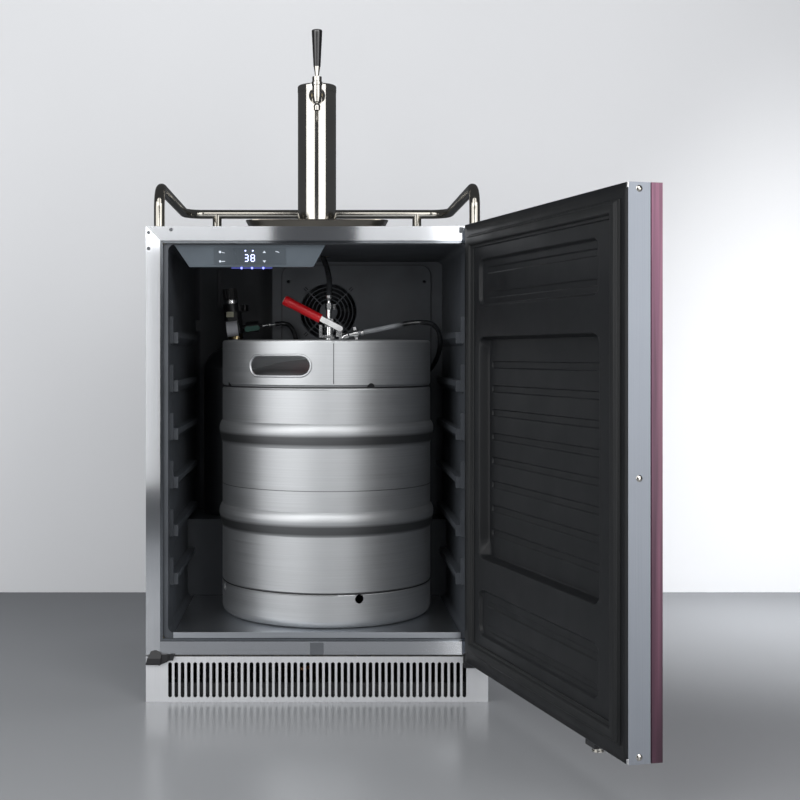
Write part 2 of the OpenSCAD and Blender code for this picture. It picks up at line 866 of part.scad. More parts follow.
module keg_top_chime() {
    z = keg_z + 471;
    color([0.74, 0.74, 0.72])
    difference() {
        translate([keg_x, keg_y, 0]) rotate_extrude() difference() {
            union() {
                translate([keg_r - 2.8, chime_z]) square([2.8, keg_top - chime_z - 5]);
                translate([keg_r - 4.8, keg_top - 5]) circle(4.8);
            }
            chime_groove();
        }
        for (a = [slot_turn, slot_turn + 180])
            translate([keg_x, keg_y, z - 3]) rotate([0, 0, a]) rotate([90, 0, 0]) translate([0, 0, keg_r - 40])
                linear_extrude(60) rounded_rect(124, 38, 18.9);
        for (a = [23.5:90:360])
            translate([keg_x, keg_y, chime_z]) rotate([0, 0, a - 90]) rotate([0, 90, 0])
                translate([0, 0, keg_r - 20]) cylinder(h = 40, r = 8);
    }
}

// Neck fitting with its bore and the spear that reaches the bottom of the keg
module keg_valve() {
    color([0.8, 0.8, 0.8])
    translate([cx, cy, 0]) {
        difference() {
            union() {
                translate([0, 0, 574]) cylinder(h = 31, r = 26.9);
                translate([0, 0, 600.6]) cylinder(h = 4.4, r = 30);
            }
            translate([0, 0, 580]) cylinder(h = 30, r = 12);
        }
        translate([0, 0, keg_z + 40]) cylinder(h = 574 + eps - keg_z - 40, r = 7);
    }
}

module coupler_body() {
    color([0.8, 0.8, 0.8]) {
        difference() {
            translate([cx, cy, 0]) {
                translate([0, 0, 605.3]) cylinder(h = 8, r = 29);
                translate([0, 0, 613.3 - eps]) cylinder(h = 16, r = 22);
                translate([0, 0, 629]) cylinder(h = 49, r = 9.2);
                translate([0, 0, 640]) cylinder(h = 6, r = 13, $fn = 6);
                translate([0, 0, 645]) cylinder(h = 50, r = 5.2);
                translate([0, 0, arm_z]) cube([16, 26, 16], center = true);
            }
            translate([cx, cy, 600]) cylinder(h = 42, r = 8.06);
            rod([cx, cy - 20, arm_z], [cx, cy + 20, arm_z], 3.06);
        }
        box([cx - 19, 203.5, 641.4], [cx - 13, 206, 665.5]);
        box([cx - 19, 203.5, 641.4], [cx - 4, 216, 646]);
        box([cx + 13.5, 211, 643], [cx + 25, 214, 654]);
        box([cx + 19, 211, 634], [cx + 25, 226, 645]);
        rod([cx + 13.5, cy, 626.6], [cx + 29, cy, 643], 6);
        rod([cx + 28, cy, 642.6], [cx + 37, cy, 646], 6.5);
    }
}

// Beer and gas connections of the coupler: nuts, wings and barbs
module coupler_tailpieces() {
    along = [62, 0, 12] / norm([62, 0, 12]);
    start = [cx + 39, cy, 646.7];
    nut = start + 8 * along;
    color([0.88, 0.88, 0.86]) {
        translate([cx, cy, 695]) cylinder(h = 13, r = 7.6, $fn = 6);
        translate([cx, cy, 696]) rotate([0, 0, 20]) box([-4, -2, 0], [12, 2, 10]);
        translate([cx, cy, 708 - eps]) cylinder(h = 18, r = 3.6);
        rod(start, nut + along, 5);
        rod(nut, nut + 9 * along, 7.5);
        translate(nut + 4.5 * along) rotate([0, -11, 0]) cube([5, 3, 26], center = true);
        rod(nut + 9 * along, nut + 34 * along, 3);
    }
}

module coupler_arm_frame() {
    translate([cx, cy, arm_z]) rotate([0, arm_tilt, 0]) children();
}

module coupler_lever() {
    color([0.82, 0.82, 0.82])
    coupler_arm_frame() {
        for (s = [-1, 1])
            translate([0, s * 15.7 + 1.5, 0]) rotate([90, 0, 0]) linear_extrude(3) {
                translate([-18, -5]) square([42, 10]);
                translate([24, 0]) circle(5);
            }
        box([-18, -17.2, -5], [-12, 17.2, 5]);
        rod([0, -18, 0], [0, 18, 0], 3);
        rod([-36, 0, 0], [-16, 0, 0], 4);
    }
}

module coupler_grip() {
    color([0.8, 0.06, 0.08])
    coupler_arm_frame() rotate([0, -90, 0]) translate([0, 0, 18 + eps]) difference() {
        rotate_extrude() {
            polygon([[0, 0], [7, 0], [7.6, 10], [7.6, 30], [8.6, 35], [8.8, 58], [9.8, 68],
                [9.8, 77], [0, 77]]);
            square([8.8, 79]);
        }
        translate([0, 0, -1]) cylinder(h = 19, r = 4 + eps);
    }
}

module coupler_probe() {
    color([0.75, 0.75, 0.75]) translate([cx, cy, 598]) {
        cylinder(h = 30, r = 8);
        translate([0, 0, -4]) cylinder(h = 5, r = 5);
    }
}

module beer_line() {
    color([0.13, 0.13, 0.14]) hose(beer_route, beer_r, 10, 3);
}

module gas_line() {
    color([0.4, 0.42, 0.45]) hose(gas_route, gas_r, 10, 2);
}

// ---- Gas ----

module co2_cylinder() {
    color([0.45, 0.46, 0.48])
    translate([gx, gy, step_h + 0.3]) rotate_extrude() {
        translate([0, 8]) square([bottle_r, 298]);
        square([bottle_r - 8, 10]);
        translate([bottle_r - 8, 8]) circle(8 - eps);
        intersection() {
            translate([0, 306 - 22]) circle(70.05);
            translate([0, 300]) square([bottle_r, 60]);
        }
        square([16, 366]);
    }
}

module co2_valve() {
    z = step_h + 366.4;
    color([0.72, 0.62, 0.35])
    translate([gx, gy, z]) {
        cylinder(h = 14, r = 15);
        difference() {
            translate([0, 0, 14 - eps]) cylinder(h = 44, r = 12);
            translate([0, 0, 48]) cylinder(h = 20, r = 5.05);
        }
        rod([0, 0, 30], [0, -26, 30], 9);
        translate([0, -26, 30]) rotate([90, 0, 0]) cylinder(h = 16, r = 15, $fn = 6);
        rod([0, 10, 34], [0, 22, 34], 6);
    }
}

module co2_handwheel() {
    z = step_h + 366.4;
    color([0.1, 0.1, 0.11])
    translate([gx, gy, z]) {
        translate([0, 0, 49]) cylinder(h = 14, r = 5);
        difference() {
            translate([0, 0, 59]) cylinder(h = 13, r = 27);
            for (a = [0:45:315])
                translate([30 * cos(a), 30 * sin(a), 50]) cylinder(h = 30, r = 6);
        }
    }
}

// Place of the regulator, which leans a little to the left on the bottle's valve
module regulator_place() {
    translate([gx, reg_y, reg_z]) rotate([0, -reg_tilt, 0]) children();
}

module regulator_body() {
    color([0.07, 0.07, 0.08]) {
        rod([gx, gy - 42 - eps, reg_z], [gx, reg_y + 14, reg_z], 5);
        regulator_place() {
            difference() {
                translate([0, 0, -21]) cylinder(h = 46, r = 18);
                translate([-30, -30, -30]) cube([60, 15, 70]);
            }
            translate([0, 0, 25 - eps]) cylinder(h = 17, r = 14);
            difference() {
                translate([0, 0, 41.8]) cylinder(h = 9.6, r = 13.6);
                translate([0, 0, 43]) cylinder(h = 12, r = 5.05);
            }
            rod([9, -12, -12], [9, -18.9, -12], 5);
        }
    }
}

module regulator_knob() {
    color([0.05, 0.05, 0.06]) regulator_place() {
        translate([0, 0, 44]) cylinder(h = 12, r = 5);
        difference() {
            translate([0, 0, 51.8]) cylinder(h = 21.5, r = 15);
            for (a = [0:20:340])
                translate([16.1 * cos(a), 16.1 * sin(a), 50]) cylinder(h = 30, r = 1.8);
        }
    }
}

// Round case of the outlet pressure gauge, lying on its side with the dial to the left
module pressure_gauge() {
    color("white") regulator_place() translate([0, -34.5, -10]) rotate([0, 90, 0]) {
        difference() {
            translate([0, 0, -14.5]) cylinder(h = 26, r = 15.5);
            translate([0, 0, -16]) cylinder(h = 4, r = 14);
        }
        translate([0, 0, -13.5]) cylinder(h = 1, r = 14 - eps);
        translate([0, 0, -13.5]) box([-10, -0.6, -0.7], [1, 0.6, eps]);
    }
}

// Shut-off valve on the outlet with its lever's boss and the barb for the hose
module gas_valve() {
    color([0.3, 0.3, 0.31]) regulator_place() {
        rod([17, 0, valve_w], [25, 0, valve_w], 6);
        difference() {
            union() {
                rod([24, 0, valve_w], [50, 0, valve_w], 11);
                rod([lever_u, -8, lever_w], [lever_u, -15, lever_w], 5);
            }
            rod([lever_u, -7, lever_w], [lever_u, -16, lever_w], 3.05);
        }
        rod([50 - eps, 0, valve_w], [62, 0, valve_w], 3.4);
        rod([61, 0, valve_w], [96, 0, valve_w], 2);
        translate([73.6, 0, valve_w]) sphere(3.8);
    }
}

module shutoff_lever() {
    color([0.1, 0.5, 0.25]) regulator_place() translate([lever_u, 0, lever_w]) {
        rod([0, -9, 0], [0, -18, 0], 3);
        translate([0, -15.4, 0]) rotate([90, 0, 0]) linear_extrude(4) {
            circle(6);
            translate([0, -5]) square([20, 10]);
            translate([20, 0]) circle(5);
        }
    }
}

// ---- Door, drawn closed and then swung open about its hinge ----

module swung() {
    translate([hinge_x, hinge_y, 0]) rotate([0, 0, door_open]) translate([-hinge_x, -hinge_y, 0]) children();
}

module bushing_holes(r) {
    for (z = [door_low - 1, cab_h - 19])
        translate([hinge_x, hinge_y, z]) cylinder(h = 20, r = r);
}

// Pockets of the door liner, grown by g: tall one in the middle and a shallow one above and
// below it, with level channels pressed into their floors
module liner_pockets(g) {
    deep = door_in - tall_pocket;
    shallow = door_in - small_pocket;
    rounded_plate(pocket_l - g, pocket_r + g, 269 - g, 636.5 + g, 16, deep - g, 5);
    rounded_plate(pocket_l - g, pocket_r + g, 692 - g, 767.5 + g, 16, shallow - g, 5);
    rounded_plate(pocket_l - g, pocket_r + g, 139 - g, 213 + g, 16, shallow - g, 5);
    for (n = [0:7])
        rounded_plate(pocket_l + 5 - g, pocket_r - 13 + g, 586.5 - 40.1 * n - g,
            597.5 - 40.1 * n + g, 4 + g, deep - channel - g, deep + 2);
    for (z = [750, 708.5, 193, 152])
        rounded_plate(pocket_l + 14 - g, pocket_r - 27 + g, z - 5 - g, z + 5 + g, 4 + g,
            shallow - channel - g, shallow + 2);
}

module door_frame() {
    x = door_w / 2;
    t = door_sheet;
    color("silver") swung() difference() {
        box([-x, door_out, door_low], [x, door_in, cab_h]);
        box([t - x, door_out + t, door_low + t], [x - t, door_in - t, cab_h - t]);
        box([gasket_in - x, door_in - 5, door_low + gasket_in],
            [x - gasket_in, door_in + 5, cab_h - gasket_in]);
        bushing_holes(7.05);
    }
}

module door_foam() {
    x = door_w / 2 - door_sheet - 0.2;
    color([0.93, 0.88, 0.7]) swung() difference() {
        box([-x, door_out + door_sheet + 0.2, door_low + 1.4], [x, door_in - 3.2, cab_h - 1.4]);
        liner_pockets(3);
        bushing_holes(7.3);
    }
}

module door_liner() {
    x = door_w / 2 - gasket_in - 0.2;
    rim = door_w / 2 - edge_in;
    inner = door_w / 2 - gasket_in - 2;
    color([0.13, 0.13, 0.14]) swung() {
        difference() {
            box([-rim, door_in, door_low + edge_in], [rim, door_in + flange_t, cab_h - edge_in]);
            box([-inner, door_in - 1, door_low + gasket_in + 2], [inner, door_in + 5, cab_h - gasket_in - 2]);
        }
        difference() {
            union() {
                box([-x, door_in - 3, door_low + gasket_in + 0.2], [x, door_in, cab_h - gasket_in - 0.2]);
                difference() {
                    liner_pockets(2.5);
                    box([-hw, door_in - 1, 0], [hw, 50, cab_h]);
                }
            }
            liner_pockets(0);
        }
    }
}

// Four strips with mitred ends round the door's inner face, each standing in from the door's edge
module gasket_strips(inset, width, y0, y1) {
    x = door_w / 2 - inset;
    low = door_low + inset;
    top = cab_h - inset;
    outer = [[-x, low], [x, low], [x, top], [-x, top]];
    inner = [[width - x, low + width], [x - width, low + width], [x - width, top - width],
        [width - x, top - width]];
    for (i = [0:3]) {
        j = (i + 1) % 4;
        gap = 0.15 * unit(outer[j] - outer[i]);
        upright(y0, y1) polygon([outer[i] + gap, outer[j] - gap, inner[j] - gap, inner[i] + gap]);
    }
}

module door_gasket() {
    color([0.16, 0.16, 0.17]) swung() {
        gasket_strips(gasket_in + 2.3, gasket_w - 2.3, door_in, door_in + 3.5);
        gasket_strips(gasket_in + 5, gasket_w - 10, door_in + 3.5 - eps, door_in + 9);
    }
}

module door_panel() {
    x = door_w / 2;
    color([0.45, 0.24, 0.34]) swung() {
        box([backing_in - x, door_out - backing_t, door_low + backing_in],
            [x - backing_in, door_out, cab_h - backing_in]);
        box([-x, door_out - backing_t - panel_t, door_low], [x, door_out - backing_t, cab_h]);
    }
}

module door_screws() {
    color([0.8, 0.8, 0.8]) swung()
    for (z = [825.5, 448, 85])
        translate([-door_w / 2, door_in - pan_t / 2, z]) rotate([0, 0, -90]) screw_head(0, 0, 0, 4.5);
}

module door_bushings() {
    color("white") swung() difference() {
        for (z = [door_low, cab_h - 18])
            translate([hinge_x, hinge_y, z]) cylinder(h = 18, r = 7);
        for (z = [door_low - 1, cab_h - 15.5])
            translate([hinge_x, hinge_y, z]) cylinder(h = 16.5, r = pin_r + 0.05);
    }
}

module lock_housing() {
    color([0.08, 0.08, 0.09]) swung() difference() {
        union() {
            box([-192, -38, 66], [-164, -14, door_low]);
            box([-204, -36, door_low - 3], [-152, -16, door_low]);
        }
        translate([-178, -26, 60]) cylinder(h = 14, r = 7.05);
    }
}

module lock_cylinder() {
    color("silver") swung() difference() {
        union() {
            translate([-178, -26, 60]) cylinder(h = 13.5, r = 7);
            translate([-178, -26, 58.5]) cylinder(h = 2, r = 8.5);
        }
        box([-182, -26.8, 57], [-174, -25.2, 62]);
    }
}

side_panels();
top_panel();
back_panel();
insulation();
inner_liner();
shelf_supports();
front_frame();
floor_plate();
kick_plate();
base_pan();
levelling_feet();
frame_plugs();
hinge_brackets();
control_panel();
display();
evaporator_cover();
fan_motors();
evaporator_coil();
compressor();
condenser_coil();
refrigerant_lines();
power_inlet();
guard_rail();
tower_column();
faucet_body();
faucet_shank();
beer_line();
keg_shell();
keg_top_chime();
keg_valve();
coupler_body();
coupler_tailpieces();
gas_line();
co2_cylinder();
co2_valve();
regulator_body();
pressure_gauge();
gas_valve();
door_frame();
door_foam();
door_liner();
door_gasket();
door_panel();
door_screws();
door_bushings();
lock_housing();
lock_cylinder();
tap_lever();
tap_handle();
coupler_lever();
coupler_grip();
coupler_probe();
evaporator_fan();
condenser_fan();
drip_tray();
drip_grid();
tower_cap();
co2_handwheel();
regulator_knob();
shutoff_lever();
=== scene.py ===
import json
import math

import bmesh
import bpy
from mathutils import Matrix, Vector


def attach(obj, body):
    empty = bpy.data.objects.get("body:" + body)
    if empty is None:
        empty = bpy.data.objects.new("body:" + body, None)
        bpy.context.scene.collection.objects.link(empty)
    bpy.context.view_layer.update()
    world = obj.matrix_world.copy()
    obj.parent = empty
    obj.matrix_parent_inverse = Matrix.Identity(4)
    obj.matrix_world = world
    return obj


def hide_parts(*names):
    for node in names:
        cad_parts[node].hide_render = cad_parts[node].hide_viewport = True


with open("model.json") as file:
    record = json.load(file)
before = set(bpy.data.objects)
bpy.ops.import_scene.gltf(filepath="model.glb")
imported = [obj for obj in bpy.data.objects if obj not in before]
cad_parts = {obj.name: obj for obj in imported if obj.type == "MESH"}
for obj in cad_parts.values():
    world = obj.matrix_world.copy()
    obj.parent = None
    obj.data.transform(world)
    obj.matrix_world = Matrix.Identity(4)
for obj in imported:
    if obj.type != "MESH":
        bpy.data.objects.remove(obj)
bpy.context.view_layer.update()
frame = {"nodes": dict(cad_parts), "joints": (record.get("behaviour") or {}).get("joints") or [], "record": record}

MM = 0.001
joints = {j["name"]: j for j in frame["joints"]}


# ---- Camera, light and floor ----

CAMERA_AT = (0, -2.300, 0.610)
CAMERA_LENS = 59.04
CAMERA_SHIFT = (0.10375, -0.0575)
WALL_Y = 1.06


def make_camera():
    data = bpy.data.cameras.new("camera")
    data.sensor_width = 36
    data.lens = CAMERA_LENS
    data.shift_x, data.shift_y = CAMERA_SHIFT
    camera = bpy.data.objects.new("camera", data)
    camera.location = CAMERA_AT
    camera.rotation_euler = (math.radians(90), 0, 0)
    bpy.context.scene.collection.objects.link(camera)
    bpy.context.scene.camera = camera


def area_light(name, at, towards, size, power):
    data = bpy.data.lights.new(name, "AREA")
    data.shape = "RECTANGLE"
    data.size, data.size_y = size
    data.energy = power
    lamp = bpy.data.objects.new(name, data)
    lamp.location = at
    lamp.rotation_euler = (Vector(towards) - Vector(at)).to_track_quat("-Z", "Y").to_euler()
    bpy.context.scene.collection.objects.link(lamp)
    return lamp


def light_front():
    """A softbox on each side of the camera, and two lamps above, all aimed at the object or past it."""
    area_light("left_softbox", (-1.40, -1.34, 1.02), (0, 0.317, 0.85), (2.1, 1.7), 23)
    area_light("right_softbox", (1.13, -1.57, 1.02), (0, 0.317, 0.85), (1.7, 1.7), 20)
    area_light("overhead_left", (-1.14, -2.1, 2.4), (-1.14, 0.1, 1.1), (1.95, 1.5), 22)
    area_light("overhead_right", (0.93, -2.1, 2.4), (0.93, 0.1, 1.1), (1.6, 1.5), 17)


FLOOR_SPOT_SPREAD = math.radians(40)


def light_backdrop():
    """Lamps for the backdrop and the floor beside the object; no reflection shows them."""
    for name, at, towards, size, power, spread in (
            ("wall_light", (-0.3, 0.2, 2.6), (-0.3, WALL_Y, 1.2), (2.0, 0.5), 7, math.pi),
            ("floor_side", (1.5, 0.35, 2.4), (1.05, 0.74, 0), (0.3, 0.3), 6, FLOOR_SPOT_SPREAD),
            ("wall_side", (1.9, 0.0, 0.35), (0.95, WALL_Y, 0.2), (0.5, 0.9), 7, math.pi),
            ("wall_left", (-1.9, 0.2, 0.8), (-0.9, WALL_Y, 0.7), (0.5, 1.2), 2.5, math.pi)):
        lamp = area_light(name, at, towards, size, power)
        lamp.data.spread = spread
        lamp.visible_glossy = False
        lamp.visible_camera = False


STRIP_Y, STRIP_Z, STRIP_AIM_Z = -1.4, 0.965, 0.85
STRIP_SIZE, STRIP_POWER = (0.66, 0.09), 0.38


def light_frame_top():
    """Two strips with a gap between them, seen only in reflections, mostly in the frame's top member."""
    for name, x in (("strip_left", -0.46), ("strip_right", 0.445)):
        strip = area_light(name, (x, STRIP_Y, STRIP_Z), (x, 0, STRIP_AIM_Z), STRIP_SIZE, STRIP_POWER)
        strip.visible_diffuse = False
        strip.visible_camera = False


def light_scene():
    light_front()
    light_backdrop()
    light_frame_top()
    world = bpy.data.worlds.new("studio")
    world.use_nodes = True
    background = world.node_tree.nodes["Background"]
    background.inputs["Color"].default_value = (0.6, 0.62, 0.66, 1)
    background.inputs["Strength"].default_value = 0.13
    bpy.context.scene.world = world
    bpy.context.scene.view_settings.view_transform = "Standard"


# ---- Node materials ----

def new_material(name, color, rough, metal=0.0, **sockets):
    """A material with its Principled shader; sockets are set by name, with _ for a space."""
    mat = bpy.data.materials.new(name)
    mat.use_nodes = True
    shader = mat.node_tree.nodes["Principled BSDF"]
    shader.inputs["Base Color"].default_value = (*color, 1)
    shader.inputs["Roughness"].default_value = rough
    shader.inputs["Metallic"].default_value = metal
    for key, value in sockets.items():
        shader.inputs[key.replace("_", " ")].default_value = value
    return mat


def link(mat, output, socket):
    mat.node_tree.links.new(output, socket)


def shader_of(mat):
    return mat.node_tree.nodes["Principled BSDF"]


def stretched(mat, scale):
    """Coordinates of the object's own space, in metres, scaled along each axis."""
    nodes = mat.node_tree.nodes
    place = nodes.new("ShaderNodeTexCoord")
    mapping = nodes.new("ShaderNodeMapping")
    mapping.inputs["Scale"].default_value = scale
    link(mat, place.outputs["Object"], mapping.inputs["Vector"])
    return mapping.outputs["Vector"]


def noise(mat, scale, detail=3.0, distortion=0.0):
    node = mat.node_tree.nodes.new("ShaderNodeTexNoise")
    node.inputs["Scale"].default_value = 1.0
    node.inputs["Detail"].default_value = detail
    node.inputs["Distortion"].default_value = distortion
    link(mat, stretched(mat, scale), node.inputs["Vector"])
    return node.outputs["Fac"]


def cells(mat, scale):
    node = mat.node_tree.nodes.new("ShaderNodeTexVoronoi")
    node.inputs["Scale"].default_value = 1.0
    link(mat, stretched(mat, scale), node.inputs["Vector"])
    return node.outputs["Distance"]


def ramp(mat, value, low, high, start=0.3, end=0.7):
    """A colour that goes from low to high while value goes from start to end."""
    node = mat.node_tree.nodes.new("ShaderNodeValToRGB")
    first, last = node.color_ramp.elements
    first.position, last.position = start, end
    first.color, last.color = (*low, 1), (*high, 1)
    link(mat, value, node.inputs["Fac"])
    return node.outputs["Color"]


def between(mat, value, low, high, start=0.3, end=0.7):
    """A number that goes from low to high while value goes from start to end."""
    node = mat.node_tree.nodes.new("ShaderNodeMapRange")
    node.inputs["From Min"].default_value = start
    node.inputs["From Max"].default_value = end
    node.inputs["To Min"].default_value = low
    node.inputs["To Max"].default_value = high
    link(mat, value, node.inputs["Value"])
    return node.outputs["Result"]


def blend_colors(mat, kind, share, a, b):
    node = mat.node_tree.nodes.new("ShaderNodeMix")
    node.data_type = "RGBA"
    node.blend_type = kind
    if isinstance(share, float):
        node.inputs["Factor"].default_value = share
    else:
        link(mat, share, node.inputs["Factor"])
    link(mat, a, node.inputs["A"])
    link(mat, b, node.inputs["B"])
    return node.outputs["Result"]


def bumps(mat, layers):
    """Chains bump nodes; each layer is (height output, distance in metres)."""
    normal = None
    for height, distance in layers:
        node = mat.node_tree.nodes.new("ShaderNodeBump")
        node.inputs["Strength"].default_value = 1.0
        node.inputs["Distance"].default_value = distance
        link(mat, height, node.inputs["Height"])
        if normal:
            link(mat, normal, node.inputs["Normal"])
        normal = node.outputs["Normal"]
    link(mat, normal, shader_of(mat).inputs["Normal"])


def shades(color, spread):
    """The colour made darker and lighter by the same share."""
    return tuple(c * (1 - spread) for c in color), tuple(min(1, c * (1 + spread)) for c in color)


def feed(mat, node, values):
    """Puts numbers or the outputs of other nodes into the node's sockets, in order."""
    for socket, value in zip(node.inputs, values):
        if isinstance(value, (int, float)):
            socket.default_value = value
        else:
            link(mat, value, socket)


def math_node(mat, kind, a, b=0.0):
    node = mat.node_tree.nodes.new("ShaderNodeMath")
    node.operation = kind
    feed(mat, node, (a, b))
    return node.outputs["Value"]


def place_of(mat):
    """The three coordinates of the object's own space, in metres."""
    split = mat.node_tree.nodes.new("ShaderNodeSeparateXYZ")
    link(mat, stretched(mat, (1, 1, 1)), split.inputs["Vector"])
    return split.outputs["X"], split.outputs["Y"], split.outputs["Z"]


def grain_across(mat, x, y, z):
    """Sets the direction in which reflections are drawn out, across the brush lines."""
    node = mat.node_tree.nodes.new("ShaderNodeCombineXYZ")
    feed(mat, node, (x, y, z))
    link(mat, node.outputs["Vector"], shader_of(mat).inputs["Tangent"])


def brushed(name, color, rough, scale, across=None, pull=0.8, depth=1.5e-6, spread=0.05):
    """Metal with fine lines; scale is small along the lines and large across them."""
    mat = new_material(name, color, rough, 1.0)
    fine = noise(mat, scale, 4.0)
    smudge = noise(mat, (9, 9, 9), 3.0)
    tone = ramp(mat, fine, *shades(color, spread))
    link(mat, blend_colors(mat, "MULTIPLY", 0.5, tone, ramp(mat, smudge, (0.9,) * 3, (1,) * 3)),
         shader_of(mat).inputs["Base Color"])
    link(mat, between(mat, fine, rough * 0.92, rough * 1.08), shader_of(mat).inputs["Roughness"])
    bumps(mat, [(fine, depth)])
    if across:
        shader_of(mat).inputs["Anisotropic"].default_value = pull
        grain_across(mat, *across)
    return mat


# Heights of the rolling hoops' undersides; the painted shade under each hoop is full out to the first distance from
# them and ends at the second
HOOP_UNDERSIDES = (0.2955, 0.455)
HOOP_SHADE_CORE, HOOP_SHADE_EDGE = 0.006, 0.0115


def keg_metal(name, color, rough):
    """Keg steel with fine lines around it, and painted shade under each rolling hoop."""
    mat = brushed(name, color, rough, (6, 6, 900), depth=4e-6, spread=0.07)
    height = place_of(mat)[2]
    shade_bands = []
    for middle in HOOP_UNDERSIDES:
        off = math_node(mat, "ABSOLUTE", math_node(mat, "SUBTRACT", height, middle))
        shade_bands.append(between(mat, off, 0.3, 1.0, HOOP_SHADE_CORE, HOOP_SHADE_EDGE))
    # Painted shade: the steel's colour is darkened in a band under each hoop
    hoop_shade = ramp(mat, math_node(mat, "MULTIPLY", *shade_bands), (0, 0, 0), (1, 1, 1), 0.0, 1.0)
    socket = shader_of(mat).inputs["Base Color"]
    steel = socket.links[0].from_socket
    link(mat, blend_colors(mat, "MULTIPLY", 1.0, steel, hoop_shade), socket)
    return mat


# The opening inside the frame, and the depths at which the frame's face ends and its return starts
OPENING_X, OPENING_TOP = 0.275, 0.809
FRAME_FACE_END, FRAME_RETURN_START = 0.0022, 0.0032


def frame_metal(name, color, rough):
    """Brushed frame: lines run along each member and meet at the upper mitres; its return is darker with painted
    shade.
    """
    mat = new_material(name, color, rough, 1.0, Anisotropic=0.94)
    x, y, z = place_of(mat)
    past = math_node(mat, "SUBTRACT", math_node(mat, "ABSOLUTE", x), OPENING_X)
    over = math_node(mat, "MAXIMUM", math_node(mat, "SUBTRACT", z, OPENING_TOP), 0.0)
    side = math_node(mat, "GREATER_THAN", past, over)
    top = math_node(mat, "SUBTRACT", 1.0, side)
    lines = noise(mat, (5, 900, 1800), 4.0)
    upright = noise(mat, (1800, 900, 5), 4.0)
    fine = math_node(mat, "ADD", math_node(mat, "MULTIPLY", upright, side),
                     math_node(mat, "MULTIPLY", lines, top))
    tone = ramp(mat, fine, *shades(color, 0.06))
    # Painted shade: the frame's return, behind its face, is made darker
    front = between(mat, y, 1.0, 0.35, FRAME_FACE_END, FRAME_RETURN_START)
    shade = ramp(mat, front, (0.12, 0.14, 0.16), (1, 1, 1), 0.3, 1.0)
    link(mat, blend_colors(mat, "MULTIPLY", 1.0, tone, shade), shader_of(mat).inputs["Base Color"])
    link(mat, between(mat, fine, rough * 0.92, rough * 1.08), shader_of(mat).inputs["Roughness"])
    bumps(mat, [(fine, 1.5e-6)])
    grain_across(mat, side, 0.0, top)
    return mat


def polished(name, color, rough, spread=0.04):
    """Polished metal with faint polishing lines and light smudges."""
    mat = new_material(name, color, rough, 1.0)
    wipe = noise(mat, (60, 60, 700), 2.0)
    smudge = noise(mat, (22, 22, 14), 4.0)
    link(mat, ramp(mat, smudge, *shades(color, spread)), shader_of(mat).inputs["Base Color"])
    link(mat, between(mat, smudge, rough * 0.7, rough * 1.5), shader_of(mat).inputs["Roughness"])
    bumps(mat, [(wipe, 1.2e-6), (smudge, 8e-6)])
    return mat


def moulded(name, color, rough, grain=900, depth=2.5e-5, **sockets):
    """Moulded plastic with a fine leathery grain and slight variation in gloss."""
    mat = new_material(name, color, rough, **sockets)
    pits = cells(mat, (grain, grain, grain))
    drift = noise(mat, (14, 14, 14), 3.0)
    link(mat, ramp(mat, drift, *shades(color, 0.12)), shader_of(mat).inputs["Base Color"])
    link(mat, between(mat, drift, rough * 0.88, rough * 1.12), shader_of(mat).inputs["Roughness"])
    bumps(mat, [(pits, depth), (drift, depth * 6)])
    return mat


def painted(name, color, rough):
    """Sprayed coat with orange peel."""
    mat = new_material(name, color, rough)
    peel = noise(mat, (420, 420, 420), 2.0)
    drift = noise(mat, (18, 18, 18), 3.0)
    link(mat, ramp(mat, drift, *shades(color, 0.1)), shader_of(mat).inputs["Base Color"])
    link(mat, between(mat, drift, rough * 0.9, rough * 1.15), shader_of(mat).inputs["Roughness"])
    bumps(mat, [(peel, 1.5e-5)])
    return mat


def stained_wood(name):
    """Mauve stained veneer with upright grain, with painted shade: darker towards the bottom, lighter and pinker
    towards the top.
    """
    mat = new_material(name, (0.2, 0.06, 0.12), 0.42)
    fibres = noise(mat, (260, 260, 6), 5.0, distortion=0.4)
    figure = noise(mat, (34, 34, 1.3), 4.0, distortion=1.2)
    pores = noise(mat, (900, 900, 22), 2.0)
    tone = ramp(mat, figure, (0.1, 0.035, 0.065), (0.26, 0.115, 0.16), 0.32, 0.68)
    line = ramp(mat, fibres, (0.66, 0.6, 0.64), (1, 1, 1), 0.35, 0.6)
    grained = blend_colors(mat, "MULTIPLY", 1.0, tone, line)
    # Painted shade: the colour darkens towards the bottom of the panel and lightens towards its top
    height = between(mat, place_of(mat)[2], 0.0, 1.0, 0.1, 0.83)
    painted_height_shade = ramp(mat, height, (0.3, 0.22, 0.3), (2.0, 2.1, 2.05), 0.0, 1.0)
    link(mat, blend_colors(mat, "MULTIPLY", 1.0, grained, painted_height_shade), shader_of(mat).inputs["Base Color"])
    link(mat, between(mat, fibres, 0.34, 0.5), shader_of(mat).inputs["Roughness"])
    bumps(mat, [(pores, 3e-5), (fibres, 2e-5)])
    return mat


def clear_hose(name, color, rough, through):
    """Flexible hose: smooth, slightly see-through, with faint uneven bumps and patches of gloss."""
    mat = new_material(name, color, rough, Transmission_Weight=through, IOR=1.46, Coat_Weight=0.4)
    drift = noise(mat, (40, 40, 40), 3.0)
    wear = noise(mat, (300, 300, 300), 3.0)
    link(mat, ramp(mat, drift, *shades(color, 0.25)), shader_of(mat).inputs["Base Color"])
    link(mat, between(mat, wear, rough * 0.8, rough * 1.3), shader_of(mat).inputs["Roughness"])
    bumps(mat, [(drift, 2e-4), (wear, 1e-5)])
    return mat


def lit(name, color, strength):
    """Back-lit symbol with a slightly uneven glow."""
    mat = new_material(name, color, 0.4, Emission_Strength=strength)
    glow = noise(mat, (500, 500, 500), 2.0)
    tone = ramp(mat, glow, *shades(color, 0.12))
    link(mat, tone, shader_of(mat).inputs["Emission Color"])
    link(mat, tone, shader_of(mat).inputs["Base Color"])
    return mat


